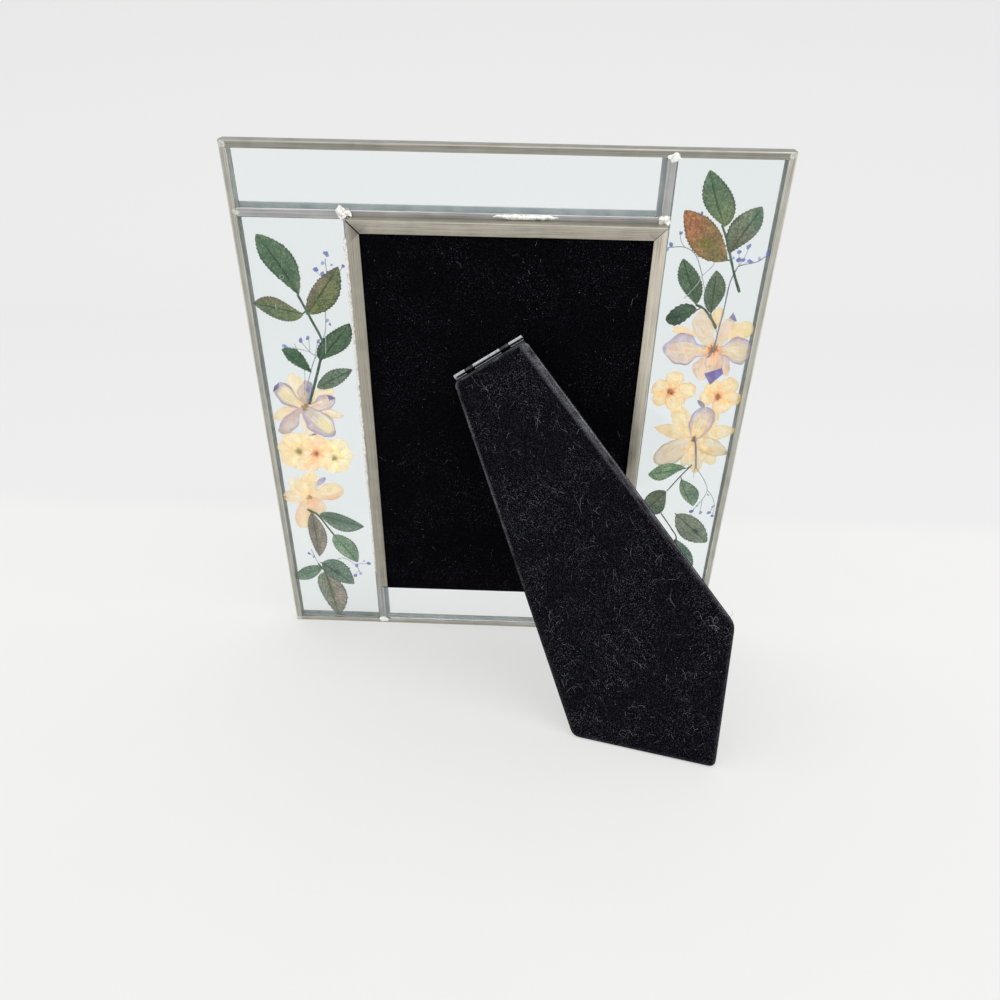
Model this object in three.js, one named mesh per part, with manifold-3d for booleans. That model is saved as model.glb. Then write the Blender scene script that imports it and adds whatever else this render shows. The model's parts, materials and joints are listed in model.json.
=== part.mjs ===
// Pressed flower frame: a leaded-glass photo frame on a velvet easel back.
//
// Everything is laid out on an upright panel and the whole panel then leans back on its leg.
// Panel coordinates, in millimetres: x to the right as seen from behind, z up the panel,
// y through it. The back faces of the rails lie at y = 0, the display side is towards +y
// and the easel leg is towards -y.

import * as THREE from 'three';
import { mergeVertices } from 'three/addons/utils/BufferGeometryUtils.js';
import Module from 'manifold-3d';

const wasm = await Module();
wasm.setup();

// ---------------------------------------------------------------- driving dimensions

const FRAME_W = 180;          // outside width of the leaded frame
const FRAME_H = 199.5;        // outside height of the leaded frame
const CAME_DEPTH = 5.6;       // rails and inner cames, front to back
const SKIN = 0.7;             // metal thickness of a came's flange
const WEB = 0.9;              // metal thickness of a came's web
const RAIL_FACE = 2.4;        // width of a rail's flanges
const EDGE_R = 0.6;           // rounding of a rail's outer edges
const BACK_FACE = 2.7;        // width of an inner came's back flange
const FRONT_FACE = 5.2;       // width of an inner came's front flange
const JOINT_GAP = 0.1;        // gap where two lengths of came meet

const LEFT_CAME_X = -51;      // centre line of the left upright came
const RIGHT_CAME_X = 51.8;    // centre line of the right upright came
const UPPER_CAME_Z = 177.7;   // centre line of the upper horizontal came
const LOWER_CAME_Z = 24;      // centre line of the lower horizontal came

const SHEET_T = 1.4;          // one thin sheet of a flower panel
const PRESS_GAP = 1.2;        // room between the two sheets
const PANE_T = 3;             // clear panes
const GLASS_SIDE_GAP = 0.3;   // glass edge to came web

const BOARD_W = 101.6;        // easel back for a 4 x 6 inch photo
const BOARD_H = 152.4;
const BOARD_T = 2.4;
const BOARD_CORNER = 1.5;
const BOARD_BACK = -4.1;      // its back face, behind the rails' back faces
const BOARD_SIDE_GAP = 0.2;   // board edge to channel web
const CHANNEL_DEPTH = 5;      // photo channel, front to back
const CHANNEL_SKIN = 0.6;
const CHANNEL_WEB = 0.8;
const CHANNEL_FACE = 4.2;
const CHANNEL_X = 0.7;        // middle of the photo channel
const CHANNEL_SEAT = 0.05;    // channel off the back faces of the cames

const HINGE_X = -4.75;        // middle of the hinge pin, on the panel
const HINGE_Z = 131.7;
const HINGE_OUT = 5.6;        // hinge pin behind the rails' back faces
const HINGE_L = 28.6;
const HINGE_ANGLE = THREE.MathUtils.degToRad(34);   // rise of the pin to the right
const LEG_OPEN = THREE.MathUtils.degToRad(30);      // leg to board when open
const PIN_R = 0.5;
const KNUCKLE_BORE = 0.65;
const KNUCKLE_R = 1.1;
const LEAF_T = 0.4;           // hinge sheet metal

const LEG_T = 2.4;
const LEG_OFF = 0.3;          // pin axis to the leg's inner face
const LEG_TOP = 1.9;          // pin axis to the leg's top edge
const LEG_TOP_HALF = 14.8;
const LEG_CORNER = 2.5;
const LEG_RIGHT = 89.6;       // folded flat, the leg's edges line up with the frame's corner
const LEG_KNEE_Z = 51.8;
const LEG_FOOT_X = 40;

// The foot's edge lies flat on the table only at this lean of the panel.
const LEAN = Math.atan(Math.cos(HINGE_ANGLE) * Math.tan(LEG_OPEN / 2));

// ---------------------------------------------------------------- finishes

const finish = (color, roughness, metalness = 0) => () =>
  new THREE.MeshStandardMaterial({ color, roughness, metalness });
const glassFinish = () => new THREE.MeshStandardMaterial({
  color: 0xdfe9e8, roughness: 0.05, metalness: 0, transparent: true, opacity: 0.35,
});
const CAME = finish(0xa3a39a, 0.45, 0.9);
const CHANNEL = finish(0xbdb5a6, 0.5, 0.8);
const SOLDER = finish(0xe6e6df, 0.35, 0.8);
const STEEL = finish(0xc8c8cc, 0.25, 1);
const VELVET = finish(0x0b0b0e, 0.95);
const GREEN_LEAF = finish(0x5c7256, 0.8);
const AMBER_LEAF = finish(0x8f6a3c, 0.8);
const CREAM_PETAL = finish(0xe9d9c0, 0.8);
const YELLOW_PETAL = finish(0xf0d99a, 0.8);
const BLUE_FLORET = finish(0x7480ad, 0.8);

// ---------------------------------------------------------------- geometry helpers

/** A closed BufferGeometry as a manifold solid. */
function solid(geometry) {
  const bare = geometry.clone();
  bare.deleteAttribute('normal');
  bare.deleteAttribute('uv');
  const merged = mergeVertices(bare, 1e-4);
  return new wasm.Manifold(new wasm.Mesh({
    numProp: 3,
    vertProperties: new Float32Array(merged.attributes.position.array),
    triVerts: new Uint32Array(merged.index.array),
  }));
}

/** A manifold solid back as a BufferGeometry. */
function geometryOf(shape) {
  const mesh = shape.getMesh();
  const geometry = new THREE.BufferGeometry();
  geometry.setAttribute('position', new THREE.BufferAttribute(new Float32Array(mesh.vertProperties), 3));
  geometry.setIndex(new THREE.BufferAttribute(new Uint32Array(mesh.triVerts), 1));
  geometry.computeVertexNormals();
  return geometry;
}

const join = (first, ...rest) => geometryOf(rest.reduce((sum, item) => sum.add(solid(item)), solid(first)));
const cut = (first, ...rest) => geometryOf(rest.reduce((sum, item) => sum.subtract(solid(item)), solid(first)));

/** A box between two corners. */
function block(x0, x1, y0, y1, z0, z1) {
  const geometry = new THREE.BoxGeometry(x1 - x0, y1 - y0, z1 - z0);
  return geometry.translate((x0 + x1) / 2, (y0 + y1) / 2, (z0 + z1) / 2);
}

/** A plate: an outline drawn in x and z, from y0 to y1. */
function plate(outline, y0, y1, curveSegments = 3) {
  const geometry = new THREE.ExtrudeGeometry(outline, { depth: y1 - y0, bevelEnabled: false, curveSegments });
  return geometry.rotateX(Math.PI / 2).translate(0, y1, 0);
}

/** An outline with straight sides and rounded corners. */
function roundedOutline(corners, radius) {
  const shape = new THREE.Shape();
  corners.forEach(([x, z], i) => {
    const corner = new THREE.Vector2(x, z);
    const before = new THREE.Vector2(...corners.at(i - 1)).sub(corner).setLength(radius).add(corner);
    const after = new THREE.Vector2(...corners[(i + 1) % corners.length]).sub(corner).setLength(radius).add(corner);
    if (i === 0) shape.moveTo(before.x, before.y);
    else shape.lineTo(before.x, before.y);
    shape.quadraticCurveTo(x, z, after.x, after.y);
  });
  shape.closePath();
  return shape;
}

// ---------------------------------------------------------------- cames and channel

/**
 * The section of a U-channel. Its web is at the top, on the outside of the frame,
 * and its mouth opens downwards over the glass.
 */
function channelSection(depth, face, skin, web, round) {
  const shape = new THREE.Shape();
  shape.moveTo(0, -face);
  shape.lineTo(0, -round);
  shape.quadraticCurveTo(0, 0, round, 0);
  shape.lineTo(depth - round, 0);
  shape.quadraticCurveTo(depth, 0, depth, -round);
  shape.lineTo(depth, -face);
  shape.lineTo(depth - skin, -face);
  shape.lineTo(depth - skin, -web);
  shape.lineTo(skin, -web);
  shape.lineTo(skin, -face);
  shape.closePath();
  return shape;
}

/** A length of channel along x, web up, each end mitred at 45 degrees or cut square. */
function channelLength(section, length, mitreLow, mitreHigh) {
  const geometry = new THREE.ExtrudeGeometry(section, { depth: length, bevelEnabled: false, curveSegments: 3 });
  geometry.translate(0, 0, -length / 2);
  // Section x becomes depth y, section y stays height z, and the run becomes x.
  geometry.applyMatrix4(new THREE.Matrix4().makeBasis(
    new THREE.Vector3(0, 1, 0), new THREE.Vector3(0, 0, 1), new THREE.Vector3(1, 0, 0)));
  const position = geometry.attributes.position;
  for (let i = 0; i < position.count; i += 1) {
    const inward = -position.getZ(i);
    const low = position.getX(i) < 0;
    if (low && mitreLow) position.setX(i, position.getX(i) + inward);
    if (!low && mitreHigh) position.setX(i, position.getX(i) - inward);
  }
  return geometry;
}

/** An inner came: front and back flanges of their own widths and lengths on one web. */
function innerCame(along, centre, back, front) {
  const bar = (halfWidth, [from, to], y0, y1) => (along === 'x'
    ? block(from, to, y0, y1, centre - halfWidth, centre + halfWidth)
    : block(centre - halfWidth, centre + halfWidth, y0, y1, from, to));
  return join(
    bar(BACK_FACE / 2, back, 0, SKIN),
    bar(FRONT_FACE / 2, front, CAME_DEPTH - SKIN, CAME_DEPTH),
    bar(WEB / 2, front, SKIN / 2, CAME_DEPTH - SKIN / 2),
  );
}

// ---------------------------------------------------------------- pressed plants

const LAYER_T = 0.14;         // a pressed specimen
const LAYER_PITCH = 0.22;     // one specimen lying over the next
const LAYER_BACK = 2.36;      // middle of the layer nearest the back sheet
const OUTLINE_STEPS = 7;      // points along each side of a leaf or petal
const STEM_W = 0.7;
const HAIR_W = 0.4;

/** A blade from base to tip: half widths on its left and right, and where each is widest. */
function blade({ base, tip, left, right, full = 0.9 }) {
  const start = new THREE.Vector2(...base);
  const axis = new THREE.Vector2(...tip).sub(start);
  const side = new THREE.Vector2(-axis.y, axis.x).normalize();
  const rim = (t, [half, widest]) => {
    const bulge = half * Math.sin(Math.PI * t ** (Math.log(0.5) / Math.log(widest))) ** full;
    return start.clone().addScaledVector(axis, t).addScaledVector(side, bulge);
  };
  const points = [start];
  for (let i = 1; i < OUTLINE_STEPS; i += 1) points.push(rim(i / OUTLINE_STEPS, [-right[0], right[1]]));
  points.push(start.clone().add(axis));
  for (let i = OUTLINE_STEPS - 1; i > 0; i -= 1) points.push(rim(i / OUTLINE_STEPS, left));
  return new THREE.Shape(points);
}

/** A thin ribbon of one width along a hand-laid line. */
function ribbon(points, width) {
  const line = points.map((point) => new THREE.Vector2(...point));
  const sides = line.map((point, i) => {
    const run = line[Math.min(i + 1, line.length - 1)].clone().sub(line[Math.max(i - 1, 0)]).normalize();
    return new THREE.Vector2(-run.y, run.x).multiplyScalar(width / 2);
  });
  const leftSide = line.map((point, i) => point.clone().add(sides[i]));
  const rightSide = line.map((point, i) => point.clone().sub(sides[i]));
  return new THREE.Shape([...rightSide, ...leftSide.reverse()]);
}

/** A round floret. */
function floret([x, z], radius = 1) {
  const shape = new THREE.Shape();
  shape.absarc(x, z, radius, 0, 2 * Math.PI);
  return shape;
}

/** One pressed specimen: all its outlines grown together in one thin layer. */
function pressed(outlines, layer) {
  const middle = LAYER_BACK + layer * LAYER_PITCH;
  const layers = outlines.map((outline) => plate(outline, middle - LAYER_T / 2, middle + LAYER_T / 2, 2));
  return join(...layers);
}

/** Petals of one flower, from its centre to each tip, and the disc that joins them. */
function flower(centre, petals, discRadius, extra = []) {
  const blades = petals.map(([tip, half, widest = 0.6]) => blade({
    base: centre, tip, left: [half, widest], right: [half, widest], full: 0.6,
  }));
  return [floret(centre, discRadius), ...blades, ...extra];
}

const leftSprayLeaves = [
  { base: [-71, 149.5], tip: [-83, 170], left: [4.2, 0.62], right: [6, 0.52] },
  { base: [-68.6, 143.2], tip: [-87.4, 146.2], left: [4.2, 0.42], right: [3.8, 0.6] },
  { base: [-69, 143], tip: [-56.3, 160], left: [3.4, 0.45], right: [5.8, 0.47] },
  { base: [-66.2, 125], tip: [-54.2, 139.7], left: [3.9, 0.35], right: [4.5, 0.6] },
  { base: [-68.5, 118.5], tip: [-79.8, 129.3], left: [1.8, 0.6], right: [4, 0.6] },
  { base: [-70, 113.8], tip: [-54.8, 122], left: [3.4, 0.5], right: [2.8, 0.44] },
];
const leftSprayStem = [
  [-71.6, 150], [-69.2, 144.6], [-67.4, 140.2], [-65.2, 135], [-64.5, 130.8], [-66.4, 124.5],
  [-69.5, 115.2], [-72.2, 107.5],
];
const middleSprayLeaves = [
  { base: [-74.7, 56.6], tip: [-56, 51.4], left: [3.2, 0.36], right: [5.2, 0.55] },
  { base: [-77, 57.8], tip: [-76.5, 35], left: [4.6, 0.52], right: [2.8, 0.4] },
  { base: [-69.2, 47.4], tip: [-60.3, 32.5], left: [4.7, 0.47], right: [3.8, 0.42] },
];
const middleSprayStem = [[-78.8, 59.3], [-74.8, 56.7], [-71.1, 50.4], [-68.6, 46]];
const lowerSprayLeaves = [
  { base: [-76, 31.6], tip: [-62.8, 20.4], left: [6.3, 0.38], right: [4, 0.48] },
  { base: [-75.4, 29.4], tip: [-87.8, 22.7], left: [4.2, 0.6], right: [3.1, 0.39] },
  { base: [-75, 28], tip: [-71.4, 2], left: [6.6, 0.49], right: [4.8, 0.32] },
];
const lowerSprayStem = [[-76.4, 32.4], [-75.6, 29.5], [-74.2, 23]];

const topSprayLeaves = [
  { base: [71.8, 175.6], tip: [64.2, 193.4], left: [3.9, 0.56], right: [5.4, 0.38] },
  { base: [75.7, 165.2], tip: [58, 181], left: [6.2, 0.45], right: [4.2, 0.55] },
  { base: [74.6, 167], tip: [82.6, 182.7], left: [5.4, 0.48], right: [3.8, 0.6] },
];
const topSprayStem = [[70.7, 177], [72.8, 172.6], [74.8, 167.6], [80.3, 154.6]];
const secondSprayLeaves = [
  { base: [66.5, 149.3], tip: [59.8, 165.4], left: [3.4, 0.59], right: [3.8, 0.41] },
  { base: [72, 145], tip: [71.5, 161.7], left: [3.2, 0.5], right: [3.9, 0.58] },
  { base: [68.2, 149], tip: [56.7, 143.9], left: [3.1, 0.62], right: [3.8, 0.45] },
];
const secondSprayStem = [[66, 150.4], [69.4, 148.3], [72.3, 145], [74.6, 141.4]];
const pairLeaves = [
  { base: [73.5, 84.7], tip: [58, 80.8], left: [3.7, 0.6], right: [3.6, 0.5] },
  { base: [66.6, 73.8], tip: [57.5, 62.2], left: [5.6, 0.55], right: [4.4, 0.4] },
];
const pairStem = [[74.2, 85.7], [69.3, 78.5], [66, 73]];
const smallLooseLeaf = { base: [71.3, 79.1], tip: [77.6, 66.6], left: [4.6, 0.56], right: [1.9, 0.42] };
const greyLooseLeaf = { base: [71.5, 62.3], tip: [85.9, 49], left: [4.8, 0.45], right: [5.4, 0.52] };
const lowestSprayLeaves = [
  { base: [72.6, 51], tip: [81, 30.5], left: [4.6, 0.5], right: [3.6, 0.42] },
  { base: [72.5, 31], tip: [60.5, 22], left: [3.6, 0.5], right: [4.4, 0.5] },
  { base: [72.6, 29], tip: [77, 5.5], left: [5.8, 0.5], right: [4.8, 0.42] },
];
const lowestSprayStem = [[65.2, 62.8], [70.6, 55], [73, 48], [72.6, 38], [72.4, 27]];

const spray = (leaves, stem) => [ribbon(stem, STEM_W), ...leaves.map(blade)];

/** The name, outlines, layer and finish of every pressed specimen. */
const SPECIMENS = [
  ['left_leaf_spray_upper', spray(leftSprayLeaves, leftSprayStem), 0, GREEN_LEAF],
  ['left_leaf_spray_middle', spray(middleSprayLeaves, middleSprayStem), 0, GREEN_LEAF],
  ['left_leaf_spray_lower', spray(lowerSprayLeaves, lowerSprayStem), 0, GREEN_LEAF],
  ['left_blue_sprig_upper', [
    ribbon([[-60.2, 163], [-60.6, 156.8], [-62.5, 142.1], [-64.6, 133.1], [-67.5, 126.8], [-69.4, 123]], HAIR_W),
    ribbon([[-64.3, 158.2], [-62.4, 156], [-61, 153]], HAIR_W),
    ribbon([[-54.9, 159.8], [-58, 155], [-61, 152]], HAIR_W),
    ribbon([[-72.8, 132.8], [-69.7, 128.5], [-67.4, 126.9]], HAIR_W),
    ribbon([[-69.5, 133.6], [-69.6, 128.4]], HAIR_W),
    ribbon([[-78.1, 130.3], [-73, 129.3], [-69.4, 128.3]], HAIR_W),
    ...[[-60.2, 163.6], [-64.3, 158.2], [-62.2, 156.9], [-54.9, 159.8], [-62.2, 140.2], [-72.8, 132.8],
      [-69.5, 133.6], [-66, 132], [-78.1, 130.3]].map((at) => floret(at)),
  ], 1, BLUE_FLORET],
  ['left_blue_sprig_lower', [
    ribbon([[-79.6, 38.5], [-77.4, 31.2], [-75.5, 29.5], [-70, 33], [-65.9, 34.3], [-61.3, 30.6], [-59.7, 26.5]],
      HAIR_W),
    ribbon([[-80.6, 36.5], [-78.4, 34.5]], HAIR_W),
    ribbon([[-62.3, 25.3], [-60.2, 27.6]], HAIR_W),
    ribbon([[-55.8, 31.5], [-61.6, 31]], HAIR_W),
    ...[[-80.6, 36.5], [-79, 34.5], [-61.3, 30.6], [-62.3, 25.3], [-59.7, 26.5], [-56, 31.5]]
      .map((at) => floret(at)),
  ], 1, BLUE_FLORET],
  ['left_cream_flower', flower([-74.2, 105.8], [
    [[-85, 113], 4.4, 0.62], [[-74, 116.5], 2.6], [[-61.8, 110], 3.4, 0.62], [[-59.8, 102.7], 2.8],
    [[-64, 93.4], 4.9, 0.6], [[-85.3, 94], 4.2, 0.58], [[-87.4, 100.8], 2.9],
  ], 2), 2, CREAM_PETAL],
  ['left_yellow_flower_1', flower([-79, 86.1], [
    [[-87.2, 88], 2.8], [[-82.5, 94], 3], [[-76, 94.5], 3], [[-80, 77.6], 3.2], [[-86, 80], 3],
  ], 1.6), 3, YELLOW_PETAL],
  ['left_yellow_flower_2', flower([-72.8, 86], [
    [[-76.5, 92.5], 2.6], [[-70.4, 93.8], 3], [[-66, 88.5], 2.6], [[-70.4, 79.8], 3], [[-76, 77], 3],
  ], 1.6), 2, YELLOW_PETAL],
  ['left_yellow_flower_3', flower([-65.5, 83.4], [
    [[-68, 91.5], 3], [[-61, 92.3], 3.4], [[-57.6, 86], 3.2], [[-61, 78.6], 3.2], [[-67.6, 77.6], 3],
  ], 1.6), 3, YELLOW_PETAL],
  ['left_yellow_flower_large', flower([-77.5, 64.9], [
    [[-83.5, 73], 3.4], [[-76.3, 76.2], 3.8], [[-63.4, 70], 4.2, 0.68], [[-72.8, 57.5], 3],
    [[-82.4, 49], 4.2, 0.66], [[-88, 64.8], 3.6],
  ], 1.8, [blade({ base: [-76.4, 67.4], tip: [-69.6, 74.4], left: [1.3, 0.7], right: [1.3, 0.7] })]),
  2, YELLOW_PETAL],
  ['right_leaf_spray_top', spray(topSprayLeaves, topSprayStem), 0, AMBER_LEAF],
  ['right_leaf_spray_second', spray(secondSprayLeaves, secondSprayStem), 2, GREEN_LEAF],
  ['right_leaf_pair', spray(pairLeaves, pairStem), 0, GREEN_LEAF],
  ['right_loose_leaf_small', [blade(smallLooseLeaf)], 0, GREEN_LEAF],
  ['right_loose_leaf_grey', [blade(greyLooseLeaf)], 0, GREEN_LEAF],
  ['right_leaf_spray_lowest', spray(lowestSprayLeaves, lowestSprayStem), 1, GREEN_LEAF],
  ['right_blue_sprig_upper', [
    ribbon([[54.6, 169], [59.7, 169.2], [63.9, 166.5], [67, 159.9], [64.3, 153]], HAIR_W),
    ribbon([[57.6, 173.6], [59.9, 169]], HAIR_W),
    ribbon([[63.9, 180.1], [66, 172], [70.4, 164.9], [66.9, 159.7]], HAIR_W),
    ribbon([[87.1, 167.4], [84.4, 165], [78.9, 163.5], [76.6, 157.4], [76.2, 148.5], [75.5, 140.3], [75, 133.8],
      [73.5, 130.4]], HAIR_W),
    ribbon([[66.8, 160.2], [70, 151], [75.4, 139.5]], HAIR_W),
    ribbon([[80.9, 169.7], [78.4, 163]], HAIR_W),
    ribbon([[77.9, 167.7], [78.2, 165]], HAIR_W),
    ...[[63.9, 180.1], [57.6, 173.6], [54.8, 169.9], [80.9, 169.7], [87.1, 167.6], [77.9, 167.7], [78.2, 165.6],
      [80, 165]].map((at) => floret(at)),
  ], 1, BLUE_FLORET],
  ['right_blue_sprig_lower', [
    ribbon([[74.3, 96], [74.5, 94.9], [76.2, 84.2], [77.2, 83.2], [80.3, 78.7], [82.1, 74.1], [80.6, 69.3],
      [77.5, 63.9]], HAIR_W),
    ribbon([[82, 74.4], [84.5, 71.3], [86.1, 66.9], [86, 62]], HAIR_W),
    ribbon([[80.9, 70], [80.8, 63.8]], HAIR_W),
    ribbon([[84.7, 63.5], [85.6, 66.2], [86, 68]], HAIR_W),
    ...[[77.4, 63.7], [80.8, 63.8], [84.7, 63.5], [86, 61.8]].map((at) => floret(at)),
  ], 1, BLUE_FLORET],
  ['right_cream_flower', flower([74.5, 133.5], [
    [[57, 133.5], 5.8, 0.64], [[68.4, 147.3], 3.9, 0.55], [[80.2, 145.8], 3.1], [[88.4, 132.4], 5.2, 0.7],
    [[71.8, 121], 3], [[76.3, 119.6], 3.8, 0.5], [[81.8, 123], 2.2], [[87.6, 141.6], 4],
    [[60, 140.4], 2.4],
  ], 2.2), 3, CREAM_PETAL],
  ['right_yellow_flower_1', flower([62.1, 116.3], [
    [[63.8, 124.4], 3.4], [[55.6, 119], 3.2], [[56.2, 111.2], 3.2], [[65.6, 109], 3.3], [[71.4, 117.2], 3.4],
  ], 1.5), 2, YELLOW_PETAL],
  ['right_yellow_flower_2', flower([79.6, 114.6], [
    [[76.4, 120.8], 3], [[85.3, 121.6], 3.4], [[88.3, 114], 3.2], [[83, 108.4], 3.2], [[73.2, 114], 2.6],
  ], 1.5), 2, YELLOW_PETAL],
  ['right_cream_flower_large', flower([73.5, 97], [
    [[65, 109.6], 4.2, 0.66], [[58.3, 101], 4.4], [[60.2, 86], 5.4, 0.66], [[76.6, 81.8], 3.2],
    [[87.2, 91], 3.8], [[88.2, 101.4], 3.9], [[82, 86], 3], [[77.4, 110], 5, 0.62],
  ], 2), 3, CREAM_PETAL],
];

// ---------------------------------------------------------------- solder

const SOLDER_SEAT = 0.05;     // solder off the metal it sits on

/** A drop of solder on the back of the cames, its underside flat on them. */
function solderDrop(x, z, halfX, halfZ, height, ...clear) {
  const drop = new THREE.SphereGeometry(1, 10, 8).scale(halfX, height, halfZ);
  drop.translate(x, -SOLDER_SEAT, z);
  const under = block(x - 2 * halfX, x + 2 * halfX, -SOLDER_SEAT, 2 * height, z - 2 * halfZ, z + 2 * halfZ);
  return cut(drop, under, ...clear);
}

// ---------------------------------------------------------------- assembly

const part = new THREE.Group();
const panel = new THREE.Group();
panel.rotation.x = LEAN;
part.add(panel);

/** Adds one named piece to a group. */
function addPiece(parent, name, geometry, makeMaterial, place = () => {}) {
  const mesh = new THREE.Mesh(geometry, makeMaterial());
  mesh.name = name;
  place(mesh);
  parent.add(mesh);
}

/** Outer rails: one channel section, turned to face each side, mitred at both ends. */
function addRails() {
  const section = channelSection(CAME_DEPTH, RAIL_FACE, SKIN, WEB, EDGE_R);
  const rail = (name, outside, angle, x, z) => {
    const geometry = channelLength(section, outside - JOINT_GAP, true, true);
    addPiece(panel, name, geometry, CAME, (mesh) => {
      mesh.rotation.y = angle;
      mesh.position.set(x, 0, z);
    });
  };
  rail('rail_top', FRAME_W, 0, 0, FRAME_H);
  rail('rail_bottom', FRAME_W, Math.PI, 0, 0);
  rail('rail_left', FRAME_H, -Math.PI / 2, -FRAME_W / 2, FRAME_H / 2);
  rail('rail_right', FRAME_H, Math.PI / 2, FRAME_W / 2, FRAME_H / 2);
}

/** Inner cames: the right upright runs full height and the others end on their neighbours. */
function addInnerCames() {
  const railSide = FRAME_W / 2 - RAIL_FACE - JOINT_GAP;
  const railLow = RAIL_FACE + JOINT_GAP;
  const railHigh = FRAME_H - railLow;
  const backClear = BACK_FACE / 2 + JOINT_GAP;
  const frontClear = FRONT_FACE / 2 + JOINT_GAP;
  addPiece(panel, 'came_right_upright',
    innerCame('z', RIGHT_CAME_X, [railLow, railHigh], [railLow, railHigh]), CAME);
  addPiece(panel, 'came_left_upright', innerCame('z', LEFT_CAME_X,
    [railLow, UPPER_CAME_Z - backClear], [railLow, UPPER_CAME_Z - frontClear]), CAME);
  addPiece(panel, 'came_upper', innerCame('x', UPPER_CAME_Z,
    [-railSide, RIGHT_CAME_X - backClear], [-railSide, RIGHT_CAME_X - frontClear]), CAME);
  addPiece(panel, 'came_lower', innerCame('x', LOWER_CAME_Z,
    [LEFT_CAME_X + backClear, RIGHT_CAME_X - backClear],
    [LEFT_CAME_X + frontClear, RIGHT_CAME_X - frontClear]), CAME);
}

/** Glass: three clear panes, and two thin sheets for each flower panel. */
function addGlass() {
  const fromRail = WEB + GLASS_SIDE_GAP;
  const fromCame = WEB / 2 + GLASS_SIDE_GAP;
  const middle = CAME_DEPTH / 2;
  const left = -FRAME_W / 2 + fromRail;
  const right = FRAME_W / 2 - fromRail;
  const low = fromRail;
  const high = FRAME_H - fromRail;
  const pane = (name, x0, x1, z0, z1) => addPiece(panel, name,
    block(x0, x1, middle - PANE_T / 2, middle + PANE_T / 2, z0, z1), glassFinish);
  const sheets = (name, x0, x1, z0, z1) => {
    const inner = PRESS_GAP / 2;
    const outer = inner + SHEET_T;
    addPiece(panel, `${name}_back_sheet`, block(x0, x1, middle - outer, middle - inner, z0, z1), glassFinish);
    addPiece(panel, `${name}_front_sheet`, block(x0, x1, middle + inner, middle + outer, z0, z1), glassFinish);
  };
  pane('pane_top', left, RIGHT_CAME_X - fromCame, UPPER_CAME_Z + fromCame, high);
  pane('pane_bottom', LEFT_CAME_X + fromCame, RIGHT_CAME_X - fromCame, low, LOWER_CAME_Z - fromCame);
  pane('pane_window', LEFT_CAME_X + fromCame, RIGHT_CAME_X - fromCame,
    LOWER_CAME_Z + fromCame, UPPER_CAME_Z - fromCame);
  sheets('left_panel', left, LEFT_CAME_X - fromCame, low, UPPER_CAME_Z - fromCame);
  sheets('right_panel', RIGHT_CAME_X + fromCame, right, low, high);
}

const channelHalf = BOARD_W / 2 + BOARD_SIDE_GAP + CHANNEL_WEB;
const boardLow = LOWER_CAME_Z - 0.2;
const boardHigh = boardLow + BOARD_H;
const channelHigh = boardHigh + BOARD_SIDE_GAP + CHANNEL_WEB;
const armLow = boardLow + 1.4;

/** Photo channel: a top length mitred to two arms, open at the bottom. */
function addPhotoChannel() {
  const section = channelSection(CHANNEL_DEPTH, CHANNEL_FACE, CHANNEL_SKIN, CHANNEL_WEB, CHANNEL_SKIN / 2);
  const armLength = channelHigh - armLow - JOINT_GAP;
  const armMiddle = armLow + armLength / 2;
  const seatY = -CHANNEL_SEAT - CHANNEL_DEPTH;
  addPiece(panel, 'channel_top', channelLength(section, 2 * channelHalf - JOINT_GAP, true, true), CHANNEL,
    (mesh) => mesh.position.set(CHANNEL_X, seatY, channelHigh));
  addPiece(panel, 'channel_left', channelLength(section, armLength, false, true), CHANNEL, (mesh) => {
    mesh.rotation.y = -Math.PI / 2;
    mesh.position.set(CHANNEL_X - channelHalf, seatY, armMiddle);
  });
  addPiece(panel, 'channel_right', channelLength(section, armLength, true, false), CHANNEL, (mesh) => {
    mesh.rotation.y = Math.PI / 2;
    mesh.position.set(CHANNEL_X + channelHalf, seatY, armMiddle);
  });
}

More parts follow.
